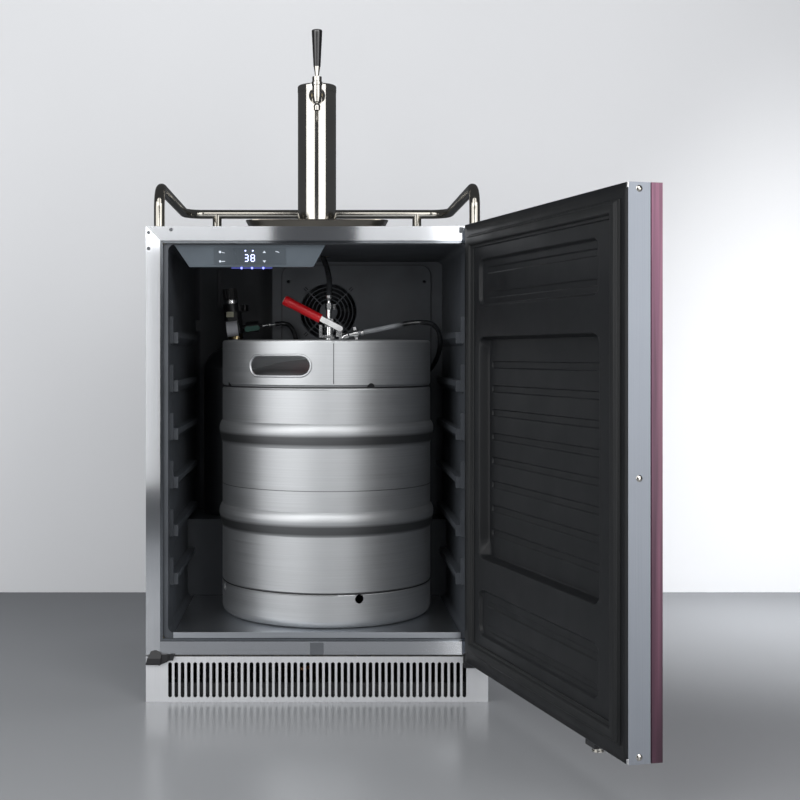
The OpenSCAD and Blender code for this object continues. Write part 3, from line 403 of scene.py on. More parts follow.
def wall_material(name, color, rough):
    """Paper backdrop that shows only its front, so the object can be seen from behind it."""
    mat = new_material(name, color, rough)
    drift = noise(mat, (0.9, 0.9, 0.9), 2.0)
    link(mat, ramp(mat, drift, *shades(color, 0.03)), shader_of(mat).inputs["Base Color"])
    nodes = mat.node_tree.nodes
    side = nodes.new("ShaderNodeNewGeometry")
    clear = nodes.new("ShaderNodeBsdfTransparent")
    mix = nodes.new("ShaderNodeMixShader")
    link(mat, side.outputs["Backfacing"], mix.inputs["Fac"])
    link(mat, shader_of(mat).outputs["BSDF"], mix.inputs[1])
    link(mat, clear.outputs["BSDF"], mix.inputs[2])
    link(mat, mix.outputs["Shader"], nodes["Material Output"].inputs["Surface"])
    return mat


def floor_material(name, near, far, rough):
    """Studio floor with painted shade, a little darker towards the backdrop."""
    mat = new_material(name, near, rough, Specular_IOR_Level=0.3)
    drift = noise(mat, (0.9, 0.9, 0.9), 2.0)
    # Painted shade: the floor's colour darkens with distance towards the backdrop
    depth = between(mat, place_of(mat)[1], 0.0, 1.0, -0.7, 1.0)
    shade = ramp(mat, depth, near, far, 0.0, 1.0)
    link(mat, blend_colors(mat, "MULTIPLY", 1.0, shade, ramp(mat, drift, (0.97,) * 3, (1,) * 3)),
         shader_of(mat).inputs["Base Color"])
    return mat


def fitting_paint(name, color, start_x):
    """Black paint up to start_x along the object's own X, bare chrome beyond it."""
    mat = new_material(name, color, 0.4)
    x = place_of(mat)[0]
    bare = between(mat, x, 0.0, 1.0, start_x, start_x + 0.001)
    peel = noise(mat, (420, 420, 420), 2.0)
    link(mat, ramp(mat, bare, color, (0.82, 0.82, 0.82), 0.0, 1.0), shader_of(mat).inputs["Base Color"])
    link(mat, bare, shader_of(mat).inputs["Metallic"])
    link(mat, between(mat, bare, 0.4, 0.14, 0.0, 1.0), shader_of(mat).inputs["Roughness"])
    bumps(mat, [(peel, 8e-6)])
    return mat


def hose_with_painted_shade(name, clear, dark, middle_x, reach, rough, through):
    """Clear hose with painted shade: it darkens away from its middle_x, standing in for the black keg room seen
    through it.
    """
    mat = clear_hose(name, clear, rough, through)
    away = math_node(mat, "ABSOLUTE", math_node(mat, "SUBTRACT", place_of(mat)[0], middle_x))
    # Painted shade: the hose's colour darkens away from middle_x
    tone = ramp(mat, between(mat, away, 0.0, 1.0, reach, reach + 0.02), clear, dark, 0.0, 1.0)
    drift = ramp(mat, noise(mat, (40, 40, 40), 3.0), (0.8,) * 3, (1,) * 3)
    link(mat, blend_colors(mat, "MULTIPLY", 1.0, tone, drift), shader_of(mat).inputs["Base Color"])
    return mat


MATERIALS = {
    "frame_steel": frame_metal("frame_steel", (0.8, 0.82, 0.85), 0.13),
    "kick_steel": brushed("kick_steel", (0.9, 0.91, 0.93), 0.6, (1800, 900, 5), (1, 0, 0), 0.3),
    "cabinet_steel": brushed("cabinet_steel", (0.62, 0.64, 0.67), 0.36, (900, 900, 5)),
    # door_steel is steel given a much darker colour than the frame's, as painted shade
    "door_steel": brushed("door_steel", (0.265, 0.285, 0.32), 0.42, (900, 900, 5), (0, 0, 1)),
    "floor_steel": brushed("floor_steel", (0.62, 0.65, 0.69), 0.32, (5, 900, 900)),
    "keg_steel": keg_metal("keg_steel", (0.62, 0.635, 0.65), 0.52),
    "seam_steel": brushed("seam_steel", (0.2, 0.205, 0.21), 0.5, (60, 60, 300), depth=4e-6, spread=0.1),
    "polished_steel": polished("polished_steel", (0.56, 0.54, 0.5), 0.07),
    # rail_steel and tray_steel are the polished steel made darker and warmer, as painted dark reflections
    "rail_steel": polished("rail_steel", (0.4, 0.38, 0.34), 0.09),
    "tray_steel": polished("tray_steel", (0.36, 0.33, 0.28), 0.12),
    "coupler_chrome": polished("coupler_chrome", (0.9, 0.9, 0.9), 0.22),
    "lever_steel": polished("lever_steel", (0.96, 0.96, 0.96), 0.45),
    "back_sheet": brushed("back_sheet", (0.55, 0.57, 0.6), 0.45, (120, 120, 120), depth=1e-5, spread=0.15),
    "coil_aluminium": brushed("coil_aluminium", (0.7, 0.71, 0.73), 0.35, (300, 300, 300)),
    "bottle_aluminium": brushed("bottle_aluminium", (0.3, 0.31, 0.33), 0.4, (8, 8, 500)),
    "brass_fittings": polished("brass_fittings", (0.68, 0.55, 0.3), 0.25, 0.1),
    "copper": polished("copper", (0.72, 0.38, 0.22), 0.25, 0.15),
    "liner_plastic": moulded("liner_plastic", (0.062, 0.069, 0.08), 0.45, 700),
    "liner_corner": moulded("liner_corner", (0.085, 0.088, 0.1), 0.5, 700),
    "cover_plastic": moulded("cover_plastic", (0.12, 0.13, 0.145), 0.5, 600, 3e-5),
    "door_plastic": moulded("door_plastic", (0.011, 0.012, 0.0135), 0.5, 800, 1.2e-5, Specular_IOR_Level=0.3),
    "black_plastic": moulded("black_plastic", (0.015, 0.015, 0.017), 0.4),
    "control_grey": moulded("control_grey", (0.085, 0.105, 0.125), 0.38, 1100, 1.2e-5),
    "display_face": moulded("display_face", (0.07, 0.085, 0.1), 0.3, 1600, 4e-6),
    "plug_grey": moulded("plug_grey", (0.13, 0.14, 0.155), 0.35),
    "black_paint": painted("black_paint", (0.018, 0.018, 0.02), 0.4),
    "foam": moulded("foam", (0.8, 0.72, 0.48), 0.9, 500, 1e-4),
    "gasket_rubber": moulded("gasket_rubber", (0.013, 0.014, 0.015), 0.55, 1400, 8e-6,
                             Specular_IOR_Level=0.35),
    "panel_wood": stained_wood("panel_wood"),
    "white_nylon": moulded("white_nylon", (0.75, 0.75, 0.72), 0.45),
    "handle_black": moulded("handle_black", (0.01, 0.01, 0.011), 0.12, 300, 2e-6, Coat_Weight=0.6),
    "grip_red": moulded("grip_red", (0.78, 0.012, 0.02), 0.34, 700, 8e-6, Coat_Weight=0.2),
    "lever_green": moulded("lever_green", (0.008, 0.12, 0.085), 0.35),
    "gauge_white": painted("gauge_white", (0.72, 0.73, 0.78), 0.35),
    "fitting_cream": moulded("fitting_cream", (0.75, 0.73, 0.55), 0.4),
    "beer_hose": clear_hose("beer_hose", (0.05, 0.053, 0.058), 0.22, 0.0),
    "gas_hose": hose_with_painted_shade("gas_hose", (0.5, 0.52, 0.55), (0.025, 0.027, 0.03), 0.105, 0.042, 0.12, 0.3),
    "glow_blue": lit("glow_blue", (0.5, 0.55, 1.0), 2.6),
    "led_blue": lit("led_blue", (0.2, 0.22, 1.0), 3.0),
    "led_dim": lit("led_dim", (0.06, 0.07, 0.3), 0.5),
    "icon_white": lit("icon_white", (0.6, 0.65, 0.72), 0.3),
    "valve_paint": fitting_paint("valve_paint", (0.018, 0.018, 0.02), -0.113),
}

# Nodes that look different from the other nodes of their slot
NODE_MATERIALS = {"kick_plate": "kick_steel", "door_frame": "door_steel", "gas_valve": "valve_paint",
                  "coupler_lever": "lever_steel", "guard_rail": "rail_steel", "drip_tray": "tray_steel",
                  "drip_grid": "tray_steel"}


def paint_nodes():
    slots = {s["node"]: s["material_slot"] for s in frame["record"]["subparts"]}
    for name, node in frame["nodes"].items():
        node.data.materials.clear()
        node.data.materials.append(MATERIALS[NODE_MATERIALS.get(name, slots[name])])


# ---- Backdrop and floor ----

FLOOR_Z = -0.0002


def stage_sheet(name, corners, material, reflected):
    mesh = bpy.data.meshes.new(name)
    mesh.from_pydata(corners, [], [(0, 1, 2, 3)])
    mesh.materials.append(material)
    sheet = bpy.data.objects.new(name, mesh)
    bpy.context.scene.collection.objects.link(sheet)
    sheet.visible_glossy = reflected


def make_stage():
    """Floor and backdrop; the backdrop is left out of reflections."""
    floor = [(-6, -6, FLOOR_Z), (6, -6, FLOOR_Z), (6, 12, FLOOR_Z), (-6, 12, FLOOR_Z)]
    wall = [(-4, WALL_Y, -0.001), (4, WALL_Y, -0.001), (4, WALL_Y, 4), (-4, WALL_Y, 4)]
    floor_grey = floor_material("floor_grey", (0.36, 0.37, 0.385), (0.25, 0.26, 0.275), 0.24)
    stage_sheet("floor", floor, floor_grey, True)
    stage_sheet("wall", wall, wall_material("wall_grey", (0.76, 0.77, 0.79), 0.7), False)


# ---- Making pieces ----

def add_piece(name, mesh, body, material):
    piece = bpy.data.objects.new(name, mesh)
    bpy.context.scene.collection.objects.link(piece)
    mesh.materials.append(MATERIALS[material])
    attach(piece, body)
    return piece


def mesh_of(name, points, faces, smooth=True):
    mesh = bpy.data.meshes.new(name)
    mesh.from_pydata([tuple(p) for p in points], [], faces)
    mesh.polygons.foreach_set("use_smooth", [smooth] * len(mesh.polygons))
    mesh.update()
    bm = bmesh.new()
    bm.from_mesh(mesh)
    bmesh.ops.recalc_face_normals(bm, faces=bm.faces)
    bm.to_mesh(mesh)
    bm.free()
    return mesh


def joined(name, meshes, smooth=True):
    points, faces = [], []
    for more_points, more_faces in meshes:
        faces += [tuple(i + len(points) for i in f) for f in more_faces]
        points += more_points
    return mesh_of(name, points, faces, smooth)


def lathe(profile, centre, axis, steps=40):
    """Points and faces of a turned solid; profile is (radius, distance along the axis)."""
    spin = Vector((0, 0, 1)).rotation_difference(Vector(axis)).to_matrix()
    points, faces = [], []
    for r, h in profile:
        for k in range(steps):
            a = 2 * math.pi * k / steps
            points.append(Vector(centre) + spin @ Vector((r * math.cos(a), r * math.sin(a), h)))
    for i in range(len(profile) - 1):
        for k in range(steps):
            a, b = i * steps + k, i * steps + (k + 1) % steps
            faces.append((a, b, b + steps, a + steps))
    faces.append(tuple(range(steps)))
    faces.append(tuple(len(points) - 1 - k for k in range(steps)))
    return points, faces


def swept(line, radius, sides=10, closed=False):
    """Points and faces of a round tube along a line of points."""
    count = len(line)
    points, faces = [], []
    up = Vector((0.1, 1, 0.2))
    for i, p in enumerate(line):
        if closed:
            ahead = line[(i + 1) % count] - line[i - 1]
        else:
            ahead = line[min(i + 1, count - 1)] - line[max(i - 1, 0)]
        ahead = ahead.normalized()
        up = (up - up.dot(ahead) * ahead).normalized()
        aside = ahead.cross(up)
        for k in range(sides):
            a = 2 * math.pi * k / sides
            points.append(p + radius * (math.cos(a) * up + math.sin(a) * aside))
    for i in range(count if closed else count - 1):
        for k in range(sides):
            a, b = i * sides + k, i * sides + (k + 1) % sides
            c, d = (b + sides) % len(points), (a + sides) % len(points)
            faces.append((a, b, c, d))
    if not closed:
        faces.append(tuple(range(sides)))
        faces.append(tuple(len(points) - 1 - k for k in range(sides)))
    return points, faces


def end_to_end(n):
    """Faces of a solid whose two ends are outlines of n points each, listed one after the other."""
    faces = [tuple(range(n)), tuple(2 * n - 1 - k for k in range(n))]
    return faces + [(k, (k + 1) % n, (k + 1) % n + n, k + n) for k in range(n)]


def slab(outline, at, right, up, thick):
    """Points and faces of a flat plate; the outline is in the plane of right and up, at its front."""
    right, up = Vector(right).normalized(), Vector(up).normalized()
    back = up.cross(right)
    front = [Vector(at) + right * x + up * y for x, y in outline]
    return front + [p + back * thick for p in front], end_to_end(len(outline))


def block(lo, hi):
    """Points and faces of a block between two corners given in millimetres."""
    corners = [Vector((hi[0] if i & 1 else lo[0], hi[1] if i & 2 else lo[1], hi[2] if i & 4 else lo[2])) * MM
               for i in range(8)]
    return corners, [(0, 2, 3, 1), (4, 5, 7, 6), (0, 1, 5, 4), (2, 6, 7, 3), (0, 4, 6, 2), (1, 3, 7, 5)]


def prism(outline, z0, z1):
    """Points and faces of an upright prism; its outline is in plan, in millimetres."""
    points = [Vector((x, y, z)) * MM for z in (z0, z1) for x, y in outline]
    return points, end_to_end(len(outline))


def hoop(centre, axis, radius, thick, steps=40, sides=10):
    """Points and faces of a ring of round wire."""
    spin = Vector((0, 0, 1)).rotation_difference(Vector(axis)).to_matrix()
    line = [Vector(centre) + spin @ Vector((radius * math.cos(a), radius * math.sin(a), 0))
            for a in [2 * math.pi * k / steps for k in range(steps)]]
    return swept(line, thick, sides, closed=True)


def disc(radius, steps=16):
    """Outline of a round spot."""
    turns = [2 * math.pi * k / steps for k in range(steps)]
    return [(radius * math.cos(a), radius * math.sin(a)) for a in turns]


def soften(piece, width):
    """Rounds the sharp edges of a piece."""
    bevel = piece.modifiers.new("edges", "BEVEL")
    bevel.width = width
    bevel.segments = 2
    bevel.limit_method = "ANGLE"
    bevel.angle_limit = math.radians(40)


# ---- Hoses ----

BEER_ROUTE = [(23, 224, 712), (23, 225, 726), (24, 234, 742), (23, 252, 760), (19, 280, 781),
              (12, 304, 803), (7, 318, 830), (3, 324, 862), (0, 325, 900), (0, 325, 960),
              (0, 325, 1020), (0, 325, 1084)]
GAS_ROUTE = [(80, 224, 650), (96, 224, 653), (122, 223, 658), (150, 222, 664), (176, 222, 669),
             (202, 223, 671), (222, 226, 667), (234, 234, 655), (239, 246, 636), (238, 266, 613),
             (231, 296, 590), (216, 332, 568), (193, 368, 548), (160, 397, 532), (120, 418, 520),
             (75, 427, 514), (30, 429, 512), (-5, 429, 515), (-31, 429, 527), (-43, 428, 552),
             (-45, 426, 588), (-43, 423, 624), (-46, 417, 650), (-56, 410, 668), (-70, 405, 673),
             (-86, 405, 671.8)]
BEER_D, GAS_D = 0.011, 0.0094


def smooth_line(route, steps=6):
    """The same smooth line through the route's points that the CAD hoses follow, in metres."""
    route = [Vector(p) * MM for p in route]
    last = len(route) - 1
    line = []
    for i in range(last):
        a, b, c, d = route[max(i - 1, 0)], route[i], route[i + 1], route[min(i + 2, last)]
        for k in range(steps):
            u = k / steps
            line.append(0.5 * (2 * b + (c - a) * u + (2 * a - 5 * b + 4 * c - d) * u * u
                               + (3 * b - a - 3 * c + d) * u ** 3))
    return line + [route[last]]


def make_hose(name, route, diameter, node, material):
    line = smooth_line(route)
    data = bpy.data.curves.new(name, "CURVE")
    data.dimensions = "3D"
    data.bevel_depth = diameter / 2
    data.bevel_resolution = 5
    data.use_fill_caps = True
    spline = data.splines.new("POLY")
    spline.points.add(len(line) - 1)
    for point, p in zip(spline.points, line):
        point.co = (*p, 1)
    spline.use_smooth = True
    hose = add_piece(name, data, "cabinet", material)
    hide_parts(node)


# ---- Door ----

HINGE = Vector(joints["door_hinge"]["pos_m"])
OPEN_ANGLE = math.radians(-joints["door_hinge"]["range_deg"][0])
# Door pieces are laid out on the closed door and swung to where the door rests
SWUNG = Matrix.Translation(HINGE) @ Matrix.Rotation(OPEN_ANGLE, 4, "Z") @ Matrix.Translation(-HINGE)
DOOR_X = 0.297
DOOR_LOW, DOOR_TOP = 0.076, 0.834
DOOR_IN = -0.010


def smoothstep(t):
    t = min(1, max(0, t))
    return t * t * (3 - 2 * t)


def rounded_distance(x, z, x0, x1, z0, z1, r):
    """Distance outside a rectangle with round corners, negative inside it."""
    dx = abs(x - (x0 + x1) / 2) - (x1 - x0) / 2 + r
    dz = abs(z - (z0 + z1) / 2) - (z1 - z0) / 2 + r
    return math.hypot(max(dx, 0), max(dz, 0)) + min(max(dx, dz), 0) - r


def grid_lines(low, high, coarse, edges, reach, fine):
    """Rising values from low to high: fine steps within reach of each edge, coarse ones elsewhere."""
    values = [low]
    while values[-1] < high - fine:
        here = values[-1]
        near = any(abs(here + fine / 2 - e) < reach for e in edges)
        ahead = [e - reach for e in edges if e - reach > here + 1e-9]
        step = fine if near else min([coarse] + [a - here + 1e-6 for a in ahead])
        values.append(min(high, here + max(step, fine / 2)))
    if values[-1] < high:
        values.append(high)
    return values


POCKET_X = (-0.211, 0.230)
POCKET_R = 0.016
TALL_POCKET, TALL_DEEP = (0.269, 0.6365), 0.018
SMALL_POCKETS, SMALL_DEEP = ((0.139, 0.213), (0.692, 0.7675)), 0.006
TALL_CHANNELS, CHANNEL_PITCH, CHANNEL_TOP = 8, 0.0401, 0.5865
CHANNEL_H, CHANNEL_R, CHANNEL_DEEP = 0.011, 0.004, 0.0025
SMALL_CHANNEL_ZS, SMALL_CHANNEL_H = (0.745, 0.7035, 0.188, 0.147), 0.010
FLANGE_IN, FLANGE_END, FLANGE_T = 0.0008, 0.0197, 0.0008
SHEET_T = 0.0007
# Width over which each kind of edge slopes
FLANGE_SLOPE, TALL_SLOPE, SMALL_SLOPE, CHANNEL_SLOPE = 0.0006, 0.006, 0.005, 0.0016
# Mesh steps away from the edges and near them, and how far near reaches
COARSE, FINE_X, FINE_Z, NEAR_X, NEAR_Z = 0.02, 0.0012, 0.0007, 0.007, 0.004


def door_channels():
    """Rectangles of the channels pressed into the pockets' floors: x0, x1, z0, z1."""
    channels = []
    for n in range(TALL_CHANNELS):
        z = CHANNEL_TOP - CHANNEL_PITCH * n
        channels.append((POCKET_X[0] + 0.005, POCKET_X[1] - 0.013, z, z + CHANNEL_H))
    for z in SMALL_CHANNEL_ZS:
        channels.append((POCKET_X[0] + 0.014, POCKET_X[1] - 0.027, z, z + SMALL_CHANNEL_H))
    return channels


def pressed(deep, outside, slope):
    """Depth of a pressing whose edge slopes; outside is the distance outside the edge's middle."""
    return deep * smoothstep(0.5 - outside / slope)


def sheet_depth(x, z, channels):
    """How far the inner sheet lies behind the door's inner face at that place."""
    edge = min(DOOR_X - abs(x), z - DOOR_LOW, DOOR_TOP - z)
    depth = pressed(-FLANGE_T, edge - FLANGE_END, FLANGE_SLOPE)
    depth += pressed(TALL_DEEP, rounded_distance(x, z, *POCKET_X, *TALL_POCKET, POCKET_R), TALL_SLOPE)
    for low, high in SMALL_POCKETS:
        outside = rounded_distance(x, z, *POCKET_X, low, high, POCKET_R)
        depth += pressed(SMALL_DEEP, outside, SMALL_SLOPE)
    for x0, x1, z0, z1 in channels:
        if z0 - 0.003 < z < z1 + 0.003:
            outside = rounded_distance(x, z, x0, x1, z0, z1, CHANNEL_R)
            depth += pressed(CHANNEL_DEEP, outside, CHANNEL_SLOPE)
    return depth


def make_door_liner():
    """Vacuum-formed inner face: a sheet whose depth follows its flange, pockets and channels."""
    channels = door_channels()
    x_edges = [POCKET_X[0], POCKET_X[0] + 0.010, POCKET_X[1] - POCKET_R, POCKET_X[1]]
    x_edges += [FLANGE_END - DOOR_X, DOOR_X - FLANGE_END]
    z_edges = [z for pair in (TALL_POCKET, *SMALL_POCKETS) for z in pair]
    z_edges += [z for channel in channels for z in channel[2:4]]
    z_edges += [DOOR_LOW + FLANGE_END, DOOR_TOP - FLANGE_END]
    xs = grid_lines(FLANGE_IN - DOOR_X, DOOR_X - FLANGE_IN, COARSE, x_edges, NEAR_X, FINE_X)
    zs = grid_lines(DOOR_LOW + FLANGE_IN, DOOR_TOP - FLANGE_IN, COARSE, z_edges, NEAR_Z, FINE_Z)
    points = [SWUNG @ Vector((x, DOOR_IN - sheet_depth(x, z, channels), z)) for z in zs for x in xs]
    wide = len(xs)
    faces = [(j * wide + i, j * wide + i + 1, (j + 1) * wide + i + 1, (j + 1) * wide + i)
             for j in range(len(zs) - 1) for i in range(wide - 1)]
    mesh = mesh_of("door_inner_sheet", points, faces)
    sheet = add_piece("door_inner_sheet", mesh, "door", "door_plastic")
    into_room = SWUNG.to_3x3() @ Vector((0, 1, 0))
    solid = sheet.modifiers.new("sheet", "SOLIDIFY")
    solid.thickness = SHEET_T
    facing = sum(p.normal.dot(into_room) for p in mesh.polygons)
    solid.offset = -1 if facing > 0 else 1
    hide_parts("door_liner")


# Distance in from the gasket's outer edge, and height over the door's inner face, in millimetres
GASKET_PROFILE = [(0, 0), (0, 2.0), (0.6, 2.9), (1.4, 3.3), (2.0, 3.1), (2.6, 3.4), (3.2, 5.0), (3.9, 7.2),
                  (5.6, 8.6), (8, 9.0), (13.6, 9.0), (16.2, 8.6), (18, 7.2), (18.6, 5.0), (19.2, 3.4),
                  (20.2, 3.0), (22, 3.1), (23.2, 2.4), (23.7, 1.4), (23.7, 0)]
GASKET_START = 0.0203


def make_gasket():
    """Magnetic gasket: one profile carried round the door with mitred corners."""
    points, faces = [], []
    for u, v in GASKET_PROFILE:
        inset = GASKET_START + u * MM
        x, low, high = DOOR_X - inset, DOOR_LOW + inset, DOOR_TOP - inset
        y = DOOR_IN + v * MM
        points += [SWUNG @ Vector(p) for p in ((-x, y, low), (x, y, low), (x, y, high), (-x, y, high))]
    count = len(GASKET_PROFILE)
    for i in range(count):
        j = (i + 1) % count
        for k in range(4):
            m = (k + 1) % 4
            faces.append((i * 4 + k, i * 4 + m, j * 4 + m, j * 4 + k))
    mesh = mesh_of("gasket_loop", points, faces)
    mesh.set_sharp_from_angle(angle=math.radians(50))
    gasket = add_piece("gasket_loop", mesh, "door", "gasket_rubber")
    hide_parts("door_gasket")


# ---- Keg ----

KEG_X, KEG_Y = 0.018, 0.224
KEG_R = 0.199
SLOT_TURN = math.radians(-26.5)
SLOT_Z, SLOT_W, SLOT_H = 0.589, 0.124, 0.038
WELD_Z = 0.366
CHIME_LOW, CHIME_SEAM, CHIME_SEAM_H = 0.550, 0.557, 0.072
SEAM_TURN = math.radians(3.3)
VENT_TURNS = [math.radians(23.5 + 90 * k) for k in range(4)]
VENT_R = 0.0076


def around_keg(r, turn, z):
    """A point at that radius; turn 0 faces the front and grows to the right."""
    return Vector((KEG_X + r * math.sin(turn), KEG_Y - r * math.cos(turn), z))


def ring_of_keg(r, z, steps):
    return [around_keg(r, 2 * math.pi * k / steps, z) for k in range(steps)]


def slot_outline(steps=12):
    """Outline of a hand slot: along its top, round one end, back along its bottom, round the other."""
    half, r = SLOT_W / 2 - SLOT_H / 2, SLOT_H / 2
    turns = [math.pi * k / steps for k in range(steps)]
    outline = [(-half + 2 * half * k / steps, r) for k in range(steps)]
    outline += [(half + r * math.sin(a), r * math.cos(a)) for a in turns]
    outline += [(half - 2 * half * k / steps, -r) for k in range(steps)]
    return outline + [(-half - r * math.sin(a), -r * math.cos(a)) for a in turns]


def make_slot_rims():
    rims = []
    for turn in (SLOT_TURN, SLOT_TURN + math.pi):
        line = [around_keg(KEG_R - 0.0012, turn + math.asin(t / KEG_R), SLOT_Z + z)
                for t, z in slot_outline()]
        rims.append(swept(line, 0.0027, 12, closed=True))
    add_piece("hand_slot_rims", joined("hand_slot_rims", rims), "cabinet", "keg_steel")


def make_seams():
    """Weld round the keg's middle, and the upright seam of its top chime."""
    chime = [around_keg(KEG_R, SEAM_TURN, CHIME_SEAM + CHIME_SEAM_H * k / 8) for k in range(9)]
    seams = [swept(ring_of_keg(KEG_R + 0.0001, WELD_Z, 120), 0.0006, 6, closed=True), swept(chime, 0.0008, 6)]
    add_piece("keg_weld_seams", joined("keg_weld_seams", seams), "cabinet", "seam_steel")


def make_shadow_joints():
    """Black rings of painted shade in the gaps where the chimes meet the shell."""
    gaps = [swept(ring_of_keg(r, z, 160), thick, 8, closed=True)
            for r, z, thick in ((KEG_R - 0.0021, 0.5499, 0.0014), (KEG_R - 0.0009, 0.183, 0.0009))]
    add_piece("keg_shadow_joints", joined("keg_shadow_joints", gaps), "cabinet", "black_plastic")


def make_vent_shades():
    """Black half-round plates of painted shade in the vents along the lower edge of the top chime."""
    turns = [math.pi * k / 12 for k in range(13)]
    outline = [(VENT_R * math.cos(a), 0.0003 + VENT_R * math.sin(a)) for a in turns]
    vents = []
    for turn in VENT_TURNS:
        front, back = ([around_keg(KEG_R - inset, turn + t / KEG_R, CHIME_LOW + z) for t, z in outline]
                       for inset in (0.0022, 0.0032))
        vents.append((front + back, end_to_end(len(outline))))
    add_piece("chime_vent_shades", joined("chime_vent_shades", vents, False), "cabinet", "black_plastic")


# ---- Controls ----

PANEL_TOP = Vector((0, 0.014, 0.803))
PANEL_LOW = Vector((0, 0.020, 0.764))
PANEL_UP = (PANEL_TOP - PANEL_LOW).normalized()
WINDOW_PROUD = 0.0008
SIGN_PROUD, SIGN_T = 0.0003, 0.0004


def sign(x, z, outline):
    """Points and faces of a thin sign on the slanted window; its outline is in metres."""
    share = (z - PANEL_LOW.z) / (PANEL_TOP.z - PANEL_LOW.z)
    y = PANEL_LOW.lerp(PANEL_TOP, share).y - WINDOW_PROUD - SIGN_PROUD
    return slab(outline, Vector((x, y, z)), (1, 0, 0), PANEL_UP, SIGN_T)


# Each segment's place from the digit's middle, in digit widths and heights, and whether it is upright
SEGMENTS = {"top": (0, 1, 0), "mid": (0, 0, 0), "low": (0, -1, 0), "up_left": (-0.5, 0.5, 1),
            "up_right": (0.5, 0.5, 1), "low_left": (-0.5, -0.5, 1), "low_right": (0.5, -0.5, 1)}
DIGITS = {"3": ("top", "mid", "low", "up_right", "low_right"), "8": tuple(SEGMENTS)}
DIGIT_W, DIGIT_H, DIGIT_BAR = 0.0062, 0.0058, 0.0007
DIGIT_Z, DOT_Z, DOT_R = 0.7795, 0.7922, 0.0014


def segment(upright):
    """Outline of one pointed bar of a digit."""
    half, bar = (DIGIT_H if upright else DIGIT_W) / 2 - 0.0004, DIGIT_BAR
    outline = [(-half, 0), (-half + bar, bar), (half - bar, bar), (half, 0), (half - bar, -bar),
               (-half + bar, -bar)]
    return [(b, a) for a, b in outline] if upright else outline


def make_digits():
    parts = []
    for x, digit in ((-0.1247, "3"), (-0.1135, "8")):
        for name in DIGITS[digit]:
            across, along, upright = SEGMENTS[name]
            parts.append(sign(x + across * DIGIT_W, DIGIT_Z + along * DIGIT_H, segment(upright)))
    parts += [sign(x, DOT_Z, disc(DOT_R)) for x in (-0.1264, -0.1133)]
    add_piece("display_digits", joined("display_digits", parts, False), "cabinet", "glow_blue")


ARROW = [(-3, -1.6), (3, -1.6), (0, 2.4)]
ARROW_DOWN = [(a, -b) for a, b in reversed(ARROW)]
# Centre of each touch symbol, and its outline in millimetres
SYMBOLS = [(-0.0930, 0.790, ARROW), (-0.0930, 0.7736, ARROW_DOWN),
           (-0.1712, 0.790, disc(2.2)),
           (-0.1655, 0.7893, [(-2.6, -0.5), (2.6, -1.5), (2.6, -0.6), (-2.6, 0.4)]),
           (-0.1712, 0.7736, disc(2.0)),
           (-0.1656, 0.7736, [(-3.2, -0.6), (3.0, -0.6), (3.0, 0.6), (-3.2, 0.6)]),
           (-0.0700, 0.7905, [(-3.4, -0.2), (-0.4, -0.8), (3.4, -2.0), (3.4, -0.8), (-0.2, 0.7),
                              (-3.4, 1.0)])]


def make_icons():
    """Touch symbols: arrows, a lamp switch, a lock and a temperature sign, all generic."""
    parts = [sign(x, z, [(a * MM, b * MM) for a, b in outline]) for x, z, outline in SYMBOLS]
    add_piece("touch_symbols", joined("touch_symbols", parts, False), "cabinet", "icon_white")


def make_leds():
    """Lamp strip under the control housing, with its three lights."""
    strip = joined("lamp_strip", [block((-152, 24, 761.2), (-79, 29, 764))], False)
    soften(add_piece("lamp_strip", strip, "cabinet", "led_dim"), 0.0008)
    parts = [lathe([(0.01 * MM, 0), (1.4 * MM, 0.1 * MM), (1.9 * MM, 0.6 * MM), (2.0 * MM, 2 * MM)],
                   (x, 0.0232, 0.7624), (0, 1, 0), 20) for x in (-0.1337, -0.1151, -0.0952)]
    add_piece("status_lamps", joined("status_lamps", parts), "cabinet", "led_blue")


# ---- Inside the cabinet ----

def make_corner_strip():
    """Curved strip in the liner's rear left corner, in two lengths."""
    curve = [(-262 + 11.4 * (1 - math.cos(a)), 500 + 40 * math.sin(a))
             for a in [math.pi * k / 16 for k in range(9)]]
    parts = [prism(curve + [(-262, 540)], low, high) for low, high in ((276, 660), (683, 796))]
    add_piece("liner_corner_strip", joined("liner_corner_strip", parts, False), "cabinet", "liner_corner")


def make_wall_rib():
    rib = joined("back_wall_rib", [block((-215.6, 536.5, 710), (-207.8, 540.5, 791))], False)
    soften(add_piece("back_wall_rib", rib, "cabinet", "liner_corner"), 0.0012)


COVER_SEAM_X, COVER_SEAM_Z = (-0.0727, 0.237), (0.520, 0.795)
COVER_SEAM_Y, COVER_SEAM_R = 0.4398, 0.022


def make_cover_seam():
    """Edge of the evaporator cover's raised plate: a wire round a rectangle with round corners."""
    x0, x1 = COVER_SEAM_X[0] + COVER_SEAM_R, COVER_SEAM_X[1] - COVER_SEAM_R
    z0, z1 = COVER_SEAM_Z[0] + COVER_SEAM_R, COVER_SEAM_Z[1] - COVER_SEAM_R
    line = []
    for quarter, (cx, cz) in enumerate(((x1, z1), (x0, z1), (x0, z0), (x1, z0))):
        for k in range(9):
            a = math.pi / 2 * (quarter + k / 8)
            line.append(Vector((cx + COVER_SEAM_R * math.cos(a), COVER_SEAM_Y,
                                cz + COVER_SEAM_R * math.sin(a))))
    add_piece("cover_seam", joined("cover_seam", [swept(line, 0.0011, 8, closed=True)]), "cabinet",
              "black_plastic")


GRILLE_AT = Vector((0.024, 0.4352, 0.698))
TAB_REACH, TAB_SHIFT = 0.0665, 0.0022
TAB_OUTLINE = [(-0.004, -0.0009), (0.004, -0.0009), (0.004, 0.0009), (-0.004, 0.0009)]


